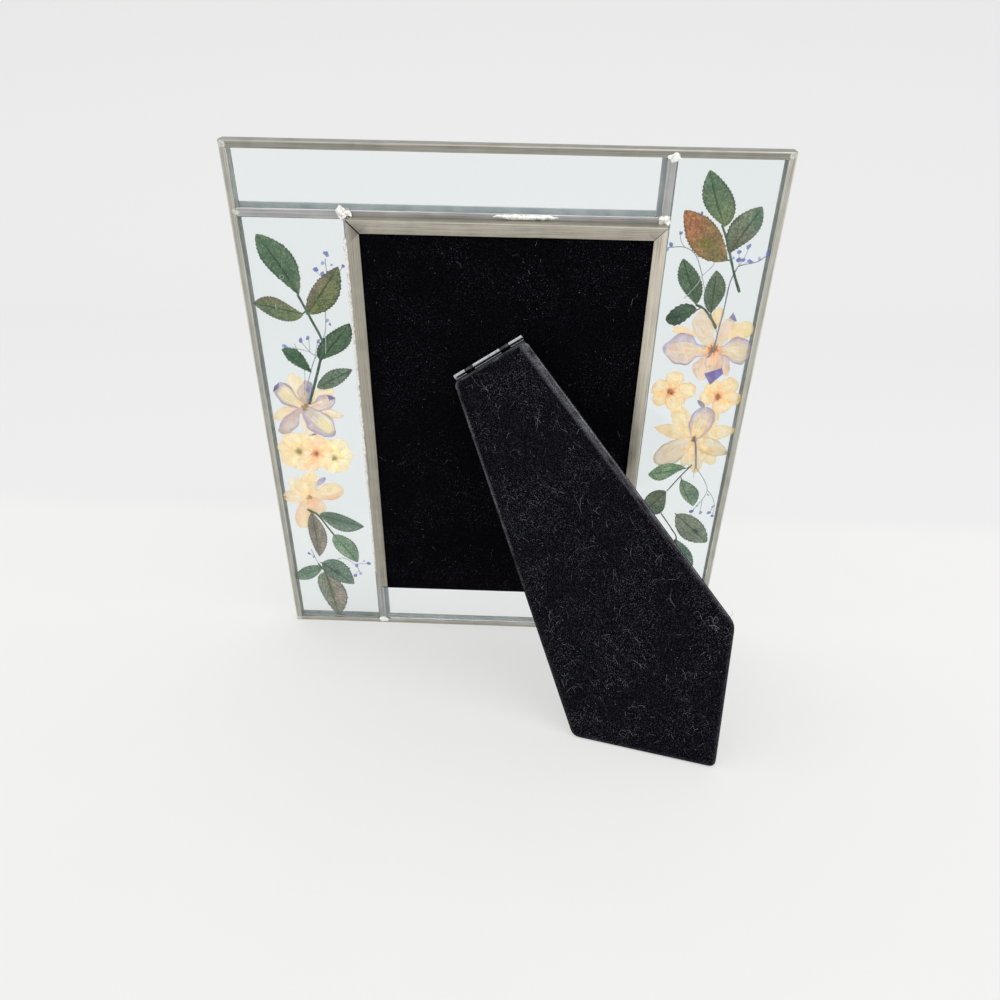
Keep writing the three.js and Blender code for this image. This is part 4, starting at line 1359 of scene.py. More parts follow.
@dataclass
class LeafSpray:
    """Leaves on one stem, grown as one plant."""

    node: str
    leaves: list[Blade]
    stems: list[Stem]
    depth: float
    finish: PressedLeaf
    stem_finish: DriedStem
    slot: Slot = Slot.GREEN_LEAF
    extra_finish: Finish | None = None
    thickness: float = 0.1

    def build(self) -> Piece:
        """Grows the leaves and the stem in the space of the CAD plate."""
        bm = new_plant()
        for i, leaf in enumerate(self.leaves):
            long = math.dist(leaf.base, leaf.tip)
            steps = max(4, leaf.teeth) * 4
            leaf.grow(bm, self.depth + 0.03 * i, self.thickness, steps, 12, seed=long)
        for stem in self.stems:
            stem.grow(bm, self.depth - 0.06)
        finishes = [self.finish, self.stem_finish]
        if self.extra_finish:
            finishes.append(self.extra_finish)
        return make_piece(self.node + "_leaves", bm, finishes, Body.FRAME, [self.node], SOFT_TURN)


@dataclass
class BlueSprig:
    """A hair-thin branching stem with small blue florets."""

    node: str
    stems: list[Stem]
    florets: list[tuple[float, float, float, str]]
    depth: float

    def build(self) -> Piece:
        """Grows the stems, then the florets at their ends."""
        bm = new_plant()
        for stem in self.stems:
            stem.grow(bm, self.depth, sides=6)
        for number, (x, z, size, code) in enumerate(self.florets):
            self._floret(bm, number, Vector((x, 0, z)), size, code)
        finishes = [FLORET, HAIR_STEM, PALE_HAIR_AND_HIGHLIGHT]
        return make_piece(
            self.node + "_florets", bm, finishes, Body.FRAME, [self.node], SOFT_TURN
        )

    def _floret(self, bm: Mesh, number: int, at: Vector, size: float, code: str) -> None:
        """Adds one floret: a small fan of three or four rounded petals."""
        dice = random.Random(f"{self.node}{number}")
        count = dice.choice((3, 3, 4))
        lean = dice.uniform(0, math.tau)
        spread = dice.uniform(1.3, 2.6)
        for i in range(count):
            angle = lean + (i / (count - 1) - 0.5) * spread
            reach = size * dice.uniform(0.9, 1.3)
            heel = (at.x - 0.35 * reach * math.cos(angle), at.z - 0.35 * reach * math.sin(angle))
            tip = (at.x + reach * math.cos(angle), at.z + reach * math.sin(angle))
            half = reach * dice.uniform(0.36, 0.5)
            hues = Hues(code, code, rim=FLORET_RIM, rim_from=0.7)
            blade = Blade(heel, tip, (half, 0.62), (half, 0.58), hues, full=0.8, ruffle=0.08, crinkle=0.3)
            blade.grow(bm, self.depth - 0.03 - 0.012 * i, 0.04, 8, 6, seed=i + number)


@dataclass
class PressedFlower:
    """One pressed flower: its petals one over the other, and what is left of its middle."""

    node: str
    centre: Spot
    petals: list[Blade]
    depth: float
    eye: str = "#C2A650"
    eye_size: float = 1.5
    filaments: int = 26
    slot: Slot = Slot.CREAM_PETAL
    stems: list[Stem] = field(default_factory=list)

    def build(self) -> Piece:
        """Grows the petals from back to front, then the stamens on top."""
        bm = new_plant()
        for i, petal in enumerate(self.petals):
            self._reach_in(petal).grow(bm, self.depth - 0.028 * i, 0.03, 30, 16, seed=i * 3.7)
        top = self.depth - 0.028 * len(self.petals) - 0.03
        self._stamens(bm, top)
        for stem in self.stems:
            stem.grow(bm, top - 0.04)
        pollen = DriedStem("dried_stamens_" + self.eye[1:], colour=self.eye, streak="#C0A060")
        finishes = [YELLOW_TISSUE, LILAC_TISSUE, pollen, HAIR_STEM]
        return make_piece(self.node + "_petals", bm, finishes, Body.FRAME, [self.node], SOFT_TURN)

    def _reach_in(self, petal: Blade) -> Blade:
        """Carries a petal that starts near the middle on past it, so that the petals overlap there."""
        middle, base, tip = Vector(self.centre), Vector(petal.base), Vector(petal.tip)
        if (base - middle).length > 2.6 or petal.angular:
            return petal
        heel = middle - (tip - middle).normalized() * self.eye_size * 0.6
        away = tuple(point for point in petal.outline if (Vector(point) - middle).length > 3.4)
        return replace(petal, base=(heel.x, heel.y), crinkle=petal.crinkle or 0.14, outline=away)

    def _stamens(self, bm: Mesh, depth: float) -> None:
        """Adds a flattened tuft of stamens."""
        dice = random.Random(self.node)
        middle = Vector((self.centre[0], depth, self.centre[1]))
        for _ in range(self.filaments):
            angle = dice.uniform(0, math.tau)
            reach = self.eye_size * dice.uniform(0.35, 1.0)
            out = Vector((math.cos(angle), 0, math.sin(angle)))
            bend = Vector((-out.z, 0, out.x)) * dice.uniform(-0.25, 0.25) * reach
            path = [middle, middle + out * reach * 0.5 + bend, middle + out * reach]
            sweep(bm, path, [0.13, 0.1, 0.2], sides=5, material=2, flat=0.35)


FLORET_RIM = "#6C80BC"
FLORET = PressedPetal(
    "dried_blue_floret", vein="#6C7CB8", rim=FLORET_RIM, alpha=0.68, stripes=3, fresh=0.85, light=1.4,
    through=0.1,
)
YELLOW_TISSUE = PressedPetal("pressed_yellow_petal", vein="#E8BE90", rim="#E8C490")
LILAC_TISSUE = PressedPetal(
    "pressed_lilac_petal", vein="#C0A8C4", rim="#A793BE", vein_amount=0.36, rim_amount=0.4
)
HAIR_STEM = DriedStem("hair_stem", colour="#B4B8CC", streak="#9096B4")
# A near-white copy of the hair stem: painted highlight where a stem lies lit over a dark leaf, and pale
# hairs on the leaves.
PALE_HAIR_AND_HIGHLIGHT = DriedStem("pale_hair_and_painted_highlight", colour="#F4F3EE", streak="#D6D4C8")
GREEN_STEM = DriedStem("green_stem", colour="#7F9E86", streak="#54705A")
OLIVE_STEM = DriedStem("olive_stem", colour="#94A080", streak="#667050")
DARK_GREEN = PressedLeaf("pressed_green_leaf")
GREY_GREEN = PressedLeaf(
    "pressed_grey_green_leaf", margin="#4C5C50", vein="#4A6052", painted_glint="#B4C4BA", fresh=0.66, light=2.55
)
AMBER = PressedLeaf(
    "pressed_amber_leaf", margin="#8C6440", vein="#94744A", vein_amount=0.35, painted_glint="#DCC48A",
    fresh=0.84, light=1.9, turn=0.505,
)


# How deep each kind of specimen lies between the sheets, from the back of the panel.
LEAF_DEPTH = 2.38
SPRIG_DEPTH = 2.62
FLOWER_DEPTH = 3.28


def rosette(
    centre: Spot, tips: Sequence[Spot], half: float, hues: Hues, full: float = 0.5, notch: float = 0.05
) -> list[Blade]:
    """Lays the broad petals of a small flower round its centre.

    Args:
        centre: The flower's centre.
        tips: The petals' tips.
        half: Half the width of a petal.
        hues: The petals' pigments.
        full: How blunt the petals are.
        notch: How deeply each tip is notched.

    Returns:
        The petals.
    """
    petals = []
    for i, tip in enumerate(tips):
        wide = half * (1 + 0.1 * math.sin(i * 2.4))
        petals.append(
            Blade(centre, tip, (wide, 0.68), (wide, 0.62), hues, full=full, notch=notch, crinkle=0.22)
        )
    return petals


# ---------------------------------------------------------------- the left panel's specimens

BLUE = "#7F96E0"
VIOLET = "#8F84D8"
PALE = "#B4C2F2"
PALE_YELLOW = Hues("#F0D08C", "#F7E4AE")
ORANGE_HEART = Hues("#F8D894", "#FAE8AC", rim="#F4D292", rim_from=0.8, heart="#E08A4E", heart_to=0.36)
SAND = Hues("#EFD9A8", "#F1E0B8", rim="#E6CFA0", rim_from=0.8)

LEFT_SPRAY_UPPER = LeafSpray(
    "left_leaf_spray_upper",
    [
        Blade((-71.1, 149.4), (-82.8, 170.2), (4.2, 0.62), (6.1, 0.52),
              Hues("#42604B", "#4F6B55", right="#557258"), teeth=20, bow=-0.5),
        Blade((-70.2, 142.9), (-87.4, 146.2), (4.2, 0.39), (3.8, 0.64),
              Hues("#5F7448", "#5C7352", right="#7E7A4E", spots=((0.97, 0, 0.14, "#38402F"),)), teeth=16),
        Blade((-68.8, 142.8), (-56.3, 159.9), (3.4, 0.45), (5.8, 0.47),
              Hues("#62703E", "#62704A", left="#7F6F55", spots=((0.18, -0.2, 0.22, "#727C30"),)), teeth=18),
        Blade((-66.2, 125.3), (-54.2, 139.7), (3.9, 0.35), (4.5, 0.6),
              Hues("#3F6048", "#4C6A52", left="#36523F"), teeth=16, full=0.75),
        Blade((-69.8, 120.3), (-79.8, 129.3), (1.6, 0.6), (4.0, 0.6),
              Hues("#33583F", "#3E6450"), teeth=10, bow=0.4),
        Blade((-68.7, 114.2), (-54.8, 121.9), (3.4, 0.51), (2.8, 0.44),
              Hues("#5F735F", "#64776A", spots=((0.4, 0.1, 0.2, "#4A5F50"),)), teeth=14),
    ],
    [
        Stem(((-71.4, 149.8), (-69.2, 144.6), (-67.4, 140.2), (-65.2, 134.9), (-64.5, 130.8),
              (-66.4, 124.5), (-69.5, 115.2), (-72.2, 107.5)), 0.42, 1.25),
        Stem(((-69.0, 142.6), (-68.8, 143.6), (-67.9, 144.9)), 0.3, 0.7),
        Stem(((-69.2, 143.9), (-70.6, 142.9), (-72.4, 143.2)), 0.3, 0.6),
        # Pale hairs caught on the leaves, in the near-white stem finish; the small loop among them is a
        # painted glint.
        Stem(((-63.3, 135.0), (-63.5, 131.6), (-63.9, 128.0)), 0.16, 0.8, 2),
        Stem(((-76.2, 155.2), (-76.8, 155.7), (-76.5, 156.4), (-75.8, 156.5), (-75.4, 155.9),
              (-75.9, 155.2)), 0.1, 1, 2),
        Stem(((-79.5, 144.2), (-79.7, 145.4), (-79.5, 146.4)), 0.13, 0.8, 2),
    ],
    LEAF_DEPTH, DARK_GREEN, GREEN_STEM, extra_finish=PALE_HAIR_AND_HIGHLIGHT,
)
LEFT_SPRAY_MIDDLE = LeafSpray(
    "left_leaf_spray_middle",
    [
        Blade((-74.1, 56.5), (-56.1, 51.4), (3.2, 0.36), (5.2, 0.55),
              Hues("#5C7568", "#667F76", right="#6C8478"), teeth=16),
        Blade((-77.0, 57.5), (-76.5, 34.9), (4.6, 0.52), (2.8, 0.4),
              Hues("#7F7560", "#8A7D6D", left="#94857A"), teeth=16),
        Blade((-69.0, 46.8), (-60.3, 32.5), (4.7, 0.47), (3.8, 0.42),
              Hues("#668A70", "#6F8F78", right="#7A977F"), teeth=14),
    ],
    [
        Stem(((-78.8, 59.3), (-74.8, 56.7), (-71.1, 50.4), (-68.9, 46.4)), 0.48, 0.7),
        Stem(((-78.4, 59.0), (-77.3, 57.6), (-76.9, 55.4)), 0.32, 0.6),
    ],
    LEAF_DEPTH, GREY_GREEN, OLIVE_STEM,
)
LEFT_SPRAY_LOWER = LeafSpray(
    "left_leaf_spray_lower",
    [
        Blade((-75.7, 29.2), (-88.2, 22.9), (3.3, 0.58), (3.2, 0.48),
              Hues("#5E7E6C", "#68887A"), teeth=12, full=0.6),
        Blade((-75.8, 31.6), (-62.8, 20.4), (6.3, 0.38), (4.0, 0.48),
              Hues("#567268", "#5F7C72", left="#688478",
                   spots=((0.42, 0.1, 0.16, "#3E5A48"), (0.95, 0, 0.2, "#7D7A68"))), teeth=14),
        Blade((-74.9, 26.7), (-71.4, 1.8), (6.6, 0.49), (4.8, 0.32),
              Hues("#83836C", "#8A8470", left="#94877A", right="#7F8C7C"), teeth=18),
    ],
    [
        Stem(((-77.4, 31.2), (-76.2, 29.2), (-74.9, 26.7), (-74.0, 23.0), (-71.9, 13.1)), 0.42, 0.35),
        Stem(((-76.6, 31.9), (-75.6, 31.4), (-73.6, 29.6)), 0.3, 0.6),
    ],
    LEAF_DEPTH, GREY_GREEN, OLIVE_STEM,
)
LEFT_SPRIG_UPPER = BlueSprig(
    "left_blue_sprig_upper",
    [
        Stem(((-60.5, 162.4), (-60.6, 156.8), (-61.9, 149.0), (-62.5, 142.1), (-63.1, 136.9),
              (-64.6, 133.1), (-67.5, 126.8), (-69.2, 123.5), (-72.6, 114.0)), 0.13, 1.2),
        Stem(((-64.3, 158.2), (-62.4, 156.0), (-61.0, 153.0)), 0.1, 1),
        Stem(((-54.9, 159.8), (-58.0, 155.0), (-61.2, 151.0)), 0.1, 1),
        Stem(((-72.8, 132.8), (-69.7, 128.5), (-67.6, 126.9)), 0.12, 1),
        Stem(((-69.5, 133.6), (-69.6, 128.4)), 0.1, 1),
        Stem(((-66.3, 132.8), (-67.3, 129.2), (-68.4, 125.2)), 0.1, 1),
        Stem(((-78.1, 130.3), (-73.0, 129.3), (-69.4, 128.3)), 0.1, 1),
        Stem(((-74.9, 131.4), (-72.6, 121.0), (-73.8, 111.0)), 0.09, 1),
    ],
    [
        (-60.2, 163.9, 1.1, BLUE), (-61.8, 161.0, 0.8, PALE), (-64.3, 158.2, 1.2, BLUE),
        (-62.2, 157.5, 1.0, BLUE), (-54.9, 159.8, 0.9, BLUE), (-62.1, 140.2, 0.8, PALE),
        (-61.0, 139.2, 0.7, BLUE), (-72.8, 132.8, 1.0, VIOLET), (-69.5, 133.6, 0.9, BLUE),
        (-66.3, 132.8, 0.9, BLUE), (-78.1, 130.3, 1.2, BLUE), (-58.6, 160.6, 0.6, PALE),
    ],
    SPRIG_DEPTH,
)
LEFT_SPRIG_LOWER = BlueSprig(
    "left_blue_sprig_lower",
    [
        Stem(((-79.6, 38.5), (-77.4, 31.2), (-75.5, 29.5), (-70.0, 33.0), (-65.9, 34.3), (-61.3, 30.6),
              (-59.7, 26.5)), 0.12, 1),
        Stem(((-80.6, 36.5), (-78.4, 34.5)), 0.1, 1),
        Stem(((-62.3, 25.3), (-60.2, 27.6)), 0.1, 1),
        Stem(((-55.8, 31.5), (-58.8, 31.8), (-61.6, 31.0)), 0.1, 1),
    ],
    [
        (-80.6, 36.5, 0.9, BLUE), (-79.2, 34.5, 0.7, PALE), (-61.3, 30.6, 1.0, BLUE),
        (-62.3, 25.3, 1.1, BLUE), (-59.7, 26.5, 0.9, PALE), (-55.8, 31.5, 1.1, BLUE),
        (-57.6, 33.4, 0.6, PALE), (-64.2, 29.0, 0.6, VIOLET),
    ],
    SPRIG_DEPTH,
)
LEFT_CREAM_FLOWER = PressedFlower(
    "left_cream_flower", (-74.2, 105.8),
    [
        Blade((-75.3, 107.0), (-77.8, 119.5), (3.4, 0.66), (3.2, 0.66),
              Hues("#F1DFAD", "#F6EAC9"), full=0.55),
        Blade((-72.5, 107.0), (-62.4, 113.8), (3.0, 0.6), (2.2, 0.6), Hues("#F1DFAD", "#F6E8C1"), full=0.6),
        Blade((-75.0, 104.6), (-73.0, 92.0), (2.9, 0.6), (2.9, 0.6),
              Hues("#F1E1BD", "#F6EDDD", left="#F2E6CD"), full=0.55),
        Blade((-76.5, 105.2), (-87.3, 100.3), (2.5, 0.55), (3.0, 0.55),
              Hues("#EDD19D", "#F5E4B9", spots=((1.0, 0, 0.3, "#EFC699"),)), full=0.7),
        Blade((-71.4, 104.7), (-59.6, 102.5), (1.9, 0.45), (2.1, 0.55),
              Hues("#F1E1B1", "#F4E4BB", rim="#E8B88A", rim_from=0.75), full=0.8),
        Blade((-73.9, 107.4), (-73.2, 117.0), (2.3, 0.6), (2.7, 0.6),
              Hues("#D4C4B5", "#D2C0BD", left="#D6C0BD", right="#A79AC8",
                   spots=((0.7, -0.5, 0.25, "#8072B4"), (0.5, 0.2, 0.15, "#C8AE9E"))), material=1,
              outline=((-76.2, 110.9), (-76.0, 113.4), (-73.6, 116.1), (-70.8, 116.2), (-70.9, 113.1),
                       (-72.6, 108.1))),
        Blade((-76.3, 106.3), (-84.6, 114.4), (3.2, 0.58), (3.6, 0.6),
              Hues("#F0DEAB", "#F2E2B5", rim="#B4A4CC", rim_from=0.5), material=1,
              outline=((-77.5, 106.3), (-81.7, 106.6), (-84.5, 110.1), (-85.4, 112.8), (-82.2, 116.0),
                       (-79.1, 114.9), (-77.0, 110.4))),
        Blade((-72.2, 105.6), (-62.4, 110.0), (3.2, 0.52), (1.9, 0.6),
              Hues("#ECDAC5", "#E6D2C9", left="#BCAED0", rim="#C4B0C8", rim_from=0.7), material=1,
              outline=((-70.3, 108.2), (-68.5, 110.6), (-65.1, 111.4), (-63.9, 106.1), (-66.9, 104.7),
                       (-70.8, 104.2))),
        Blade((-75.3, 104.7), (-85.6, 94.4), (3.3, 0.6), (3.5, 0.6),
              Hues("#D2C2C5", "#E2CEC5", right="#C4B4C8", rim="#C8B2B8"), material=1,
              outline=((-76.4, 103.0), (-80.7, 102.9), (-83.8, 100.1), (-85.9, 95.6), (-84.4, 93.8),
                       (-81.4, 94.6), (-77.6, 98.5))),
        Blade((-73.2, 104.6), (-64.0, 93.8), (4.0, 0.52), (5.0, 0.56),
              Hues("#D8CECD", "#F3E6B5", right="#BEB4D2", rim="#B4A6CC", rim_from=0.72,
                   spots=((0.62, 0.2, 0.38, "#F4EAB5"),)), material=1,
              outline=((-72.1, 103.2), (-67.2, 103.3), (-64.4, 101.0), (-63.7, 96.6), (-68.3, 93.4),
                       (-73.0, 95.2), (-74.6, 97.9))),
        Blade((-65.3, 111.3), (-63.9, 106.1), (0.3, 0.3), (0.3, 0.3), Hues("#7268A4", "#8078B0"),
              angular=True, material=1, outline=((-62.0, 110.1), (-64.6, 108.8))),
        Blade((-82.8, 115.9), (-85.6, 111.6), (0.7, 0.4), (0.7, 0.4), Hues("#847CA8", "#6A6490"),
              angular=True, material=1, outline=((-84.9, 113.9), (-83.0, 113.9))),
    ],
    FLOWER_DEPTH - 0.16, eye="#DECA75", eye_size=2.0,
)
LEFT_YELLOW_FLOWER_1 = PressedFlower(
    "left_yellow_flower_1", (-79.0, 86.1),
    rosette((-79.0, 86.1), ((-87.2, 88.6), (-82.5, 94.4), (-75.6, 94.2), (-71.8, 84.2), (-79.6, 77.4),
                             (-86.0, 80.2)), 3.4,
            Hues("#F4DEA7", "#F8E8BD", heart="#B9A866", heart_to=0.3)),
    FLOWER_DEPTH, eye="#D6CE9D", eye_size=1.0, filaments=14, slot=Slot.YELLOW_PETAL,
)
LEFT_YELLOW_FLOWER_2 = PressedFlower(
    "left_yellow_flower_2", (-72.4, 85.6),
    rosette((-72.4, 85.6), ((-75.8, 92.0), (-70.4, 93.8), (-65.6, 88.8), (-69.8, 79.0), (-76.4, 77.6)), 3.3,
            Hues("#F6CC98", "#F9DEB0", heart="#DC9458", heart_to=0.34))
    + [Blade((-74.6, 93.4), (-71.0, 94.2), (0.5, 0.5), (0.5, 0.5), Hues("#8C7880", "#6E5A68"), ruffle=0.1)],
    FLOWER_DEPTH - 0.1, eye="#E0A070", eye_size=1.2, filaments=16, slot=Slot.YELLOW_PETAL,
)
LEFT_YELLOW_FLOWER_3 = PressedFlower(
    "left_yellow_flower_3", (-65.5, 83.4),
    rosette((-65.5, 83.4), ((-68.2, 91.8), (-61.2, 92.0), (-57.6, 86.2), (-60.6, 78.4), (-67.6, 77.0),
                             (-72.0, 83.4)), 3.4,
            Hues("#F4E6B1", "#F8ECC1", heart="#C7C289", heart_to=0.3)),
    FLOWER_DEPTH, eye="#DAD6A5", eye_size=1.0, filaments=12, slot=Slot.YELLOW_PETAL,
)
LEFT_LARGE_FLOWER = PressedFlower(
    "left_yellow_flower_large", (-77.5, 64.9),
    [
        Blade((-77.2, 66.5), (-75.6, 77.0), (3.6, 0.65), (3.8, 0.65), PALE_YELLOW, full=0.5, notch=0.06),
        Blade((-78.4, 66.0), (-84.0, 73.6), (3.5, 0.62), (3.5, 0.62), Hues("#F1E1AD", "#F6EAC9"), full=0.5),
        Blade((-78.6, 64.6), (-88.2, 64.6), (3.4, 0.6), (3.6, 0.6),
              Hues("#EFDAA9", "#F4E1BB", spots=((1.0, 0.1, 0.25, "#B98A5E"),)), full=0.55),
        Blade((-78.0, 63.6), (-82.8, 49.2), (4.2, 0.66), (3.6, 0.62),
              Hues("#F0D09F", "#F3DBAD", right="#F1CAA3"), full=0.5),
        Blade((-76.6, 63.6), (-72.6, 56.6), (3.4, 0.6), (2.6, 0.6), Hues("#F0BC84", "#F3D5AD"), full=0.5),
        Blade((-76.2, 65.4), (-63.2, 69.4), (4.0, 0.7), (3.8, 0.66),
              Hues("#F2DFAD", "#F4DEA1", right="#EFC697"), full=0.5),
        Blade((-75.6, 69.4), (-69.6, 74.4), (1.3, 0.7), (1.1, 0.6),
              Hues("#D4CEE5", "#A79CC4", spots=((0.95, 0, 0.3, "#7C76A0"),)), material=1),
    ],
    FLOWER_DEPTH - 0.05, eye="#DAD8A9", eye_size=1.5, filaments=22, slot=Slot.YELLOW_PETAL,
)


# ---------------------------------------------------------------- the right panel's specimens

RIGHT_SPRAY_TOP = LeafSpray(
    "right_leaf_spray_top",
    [
        Blade((71.7, 176.1), (64.2, 193.4), (3.9, 0.56), (5.4, 0.38),
              Hues("#5C7850", "#4C6A52", spots=((0.1, 0.1, 0.25, "#6F8650"),)), teeth=16, bow=0.5),
        Blade((74.6, 167.4), (82.6, 182.7), (5.4, 0.48), (3.8, 0.6),
              Hues("#6A6A52", "#5F7A6C", left="#66735A"), teeth=16),
        Blade((74.6, 165.3), (58.0, 181.0), (6.2, 0.45), (4.2, 0.55),
              Hues("#8A7A4A", "#B8622E", right="#A07444",
                   spots=((0.42, 0.3, 0.22, "#7E7A16"), (0.78, -0.1, 0.4, "#B5622F"),
                          (0.1, 0, 0.2, "#A8703C"))),
              teeth=20, material=2),
    ],
    [
        Stem(((70.7, 176.7), (72.8, 172.6), (74.8, 167.6), (77.6, 160.4), (80.3, 154.6)), 0.34, 1.4),
        Stem(((75.2, 165.4), (74.2, 165.5), (72.6, 167.2)), 0.3, 0.7),
    ],
    LEAF_DEPTH, DARK_GREEN, GREEN_STEM, slot=Slot.AMBER_LEAF, extra_finish=AMBER,
)
RIGHT_SPRAY_SECOND = LeafSpray(
    "right_leaf_spray_second",
    [
        Blade((66.3, 149.7), (59.8, 165.4), (3.4, 0.59), (3.8, 0.41), Hues("#45604A", "#4E6A54"), teeth=16),
        Blade((72.0, 146.8), (71.5, 161.7), (3.2, 0.45), (3.9, 0.55), Hues("#4A6448", "#536C52"), teeth=16),
        Blade((67.2, 147.6), (56.7, 143.9), (3.1, 0.68), (3.8, 0.42),
              Hues("#3E5A48", "#365042"), teeth=6, full=0.6),
    ],
    [
        Stem(((66.3, 149.7), (69.4, 148.3), (72.3, 145.0), (74.6, 141.4)), 0.42, 1.1),
        Stem(((68.4, 148.9), (67.6, 148.2), (66.2, 147.4)), 0.28, 0.7),
        Stem(((72.6, 144.6), (72.1, 146.0), (72.0, 148.0)), 0.28, 0.7),
    ],
    2.76, DARK_GREEN, OLIVE_STEM,
)
RIGHT_PAIR = LeafSpray(
    "right_leaf_pair",
    [
        Blade((72.3, 84.2), (58.0, 80.8), (3.7, 0.69), (3.6, 0.5),
              Hues("#629A68", "#74A276"), teeth=14, full=0.8),
        Blade((66.1, 73.2), (57.5, 62.2), (5.6, 0.59), (4.4, 0.4),
              Hues("#66785A", "#6B7F62", left="#5F7A64"), teeth=16),
    ],
    [
        Stem(((74.4, 85.9), (72.0, 82.6), (69.3, 78.5), (66.3, 73.5)), 0.3, 0.8),
        Stem(((74.0, 85.4), (73.0, 84.6), (71.6, 84.0)), 0.24, 0.7),
    ],
    LEAF_DEPTH, GREY_GREEN, OLIVE_STEM,
)
RIGHT_SMALL_LEAF = LeafSpray(
    "right_loose_leaf_small",
    [Blade((71.3, 79.1), (77.6, 66.6), (4.9, 0.56), (1.7, 0.42),
           Hues("#6C8E72", "#74957A"), teeth=12, bow=-0.8)],
    [Stem(((70.9, 80.0), (71.3, 79.0), (71.9, 77.4)), 0.22, 0.6)],
    LEAF_DEPTH, GREY_GREEN, GREEN_STEM,
)
RIGHT_GREY_LEAF = LeafSpray(
    "right_loose_leaf_grey",
    [Blade((71.5, 62.3), (85.9, 49.0), (4.6, 0.45), (5.6, 0.52),
           Hues("#7A8A76", "#7F907C", spots=((0.6, 0.1, 0.16, "#465A4C"),)), teeth=18, full=0.7)],
    [Stem(((70.9, 63.0), (71.5, 62.3), (73.0, 60.8)), 0.24, 0.6)],
    LEAF_DEPTH, GREY_GREEN, OLIVE_STEM,
)
RIGHT_SPRAY_LOWEST = LeafSpray(
    "right_leaf_spray_lowest",
    [
        Blade((72.7, 49.8), (81.1, 30.5), (4.3, 0.51), (3.3, 0.39), Hues("#507A6A", "#567E72"), teeth=16),
        Blade((72.5, 31.0), (60.5, 22.0), (3.6, 0.5), (4.4, 0.5), Hues("#5C7A6A", "#688070"), teeth=14),
        Blade((72.6, 29.0), (77.0, 5.5), (5.8, 0.5), (4.8, 0.42), Hues("#6E8070", "#7C8672"), teeth=18),
    ],
    [
        Stem(((65.2, 62.8), (70.6, 55.0), (73.2, 50.1), (72.9, 40.0), (72.4, 27.0)), 0.24, 1.4),
        Stem(((73.2, 50.6), (72.8, 49.6), (73.2, 47.8)), 0.22, 0.6),
    ],
    2.56, GREY_GREEN, OLIVE_STEM,
)
RIGHT_SPRIG_UPPER = BlueSprig(
    "right_blue_sprig_upper",
    [
        Stem(((54.4, 169.0), (59.7, 169.2), (63.9, 166.5), (67.0, 159.9)), 0.13, 1.1),
        # This end of the stem, over the dark leaf, takes the near-white finish as painted highlight.
        Stem(((67.0, 159.9), (65.8, 157.0), (63.6, 153.8), (61.9, 151.8)), 0.16, 0.8, 2),
        Stem(((57.6, 173.6), (58.4, 171.0), (59.9, 169.0)), 0.1, 1),
        Stem(((63.9, 180.1), (66.0, 172.0), (70.4, 164.9), (66.9, 159.7)), 0.1, 1),
        Stem(((87.2, 167.2), (84.4, 165.0), (78.9, 163.5), (78.0, 162.2), (76.6, 157.4), (76.2, 148.5),
              (75.5, 140.3), (75.0, 133.8), (73.5, 130.4)), 0.14, 2.2),
        Stem(((80.9, 169.7), (79.9, 166.0), (78.4, 163.0)), 0.1, 1),
        Stem(((77.9, 167.7), (78.4, 165.0), (78.6, 163.4)), 0.1, 1),
        Stem(((82.2, 165.2), (80.4, 164.4)), 0.1, 1),
        Stem(((66.8, 160.2), (70.0, 151.0), (75.4, 139.5)), 0.1, 1.2),
    ],
    [
        (63.9, 180.1, 0.7, VIOLET), (57.6, 173.6, 0.8, BLUE), (54.8, 169.9, 1.1, BLUE),
        (53.9, 168.4, 0.7, PALE), (80.9, 169.7, 1.0, BLUE), (87.1, 167.6, 1.2, BLUE),
        (77.9, 167.7, 1.0, BLUE), (78.2, 165.9, 1.1, VIOLET), (79.8, 165.1, 0.9, BLUE),
        (82.2, 165.2, 1.0, BLUE), (85.2, 165.9, 0.7, PALE), (76.6, 166.2, 0.6, PALE),
    ],
    SPRIG_DEPTH,
)
RIGHT_SPRIG_LOWER = BlueSprig(
    "right_blue_sprig_lower",
    [
        Stem(((73.6, 97.4), (74.5, 94.9), (75.4, 89.4), (76.2, 84.2)), 0.42, 0.6),
        Stem(((76.1, 84.9), (77.2, 83.2), (80.3, 78.7), (82.1, 74.1), (80.6, 69.3), (77.5, 63.9)),
             0.14, 0.8),
        Stem(((82.0, 74.4), (84.5, 71.3), (86.1, 66.9), (86.0, 62.0)), 0.11, 0.9),
        Stem(((75.9, 85.2), (75.7, 82.4), (76.0, 79.8)), 0.12, 0.6),
        Stem(((80.9, 70.0), (80.8, 63.8)), 0.1, 0.9),
        Stem(((84.7, 63.5), (85.6, 66.2), (86.0, 68.0)), 0.1, 0.9),
    ],
    [
        (77.5, 63.5, 1.1, BLUE), (80.8, 63.6, 0.9, PALE), (84.7, 63.3, 1.0, BLUE),
        (86.0, 61.7, 0.8, VIOLET), (82.6, 72.0, 0.6, PALE), (79.2, 66.4, 0.6, PALE),
        (85.4, 66.2, 0.6, PALE),
    ],
    SPRIG_DEPTH,
)
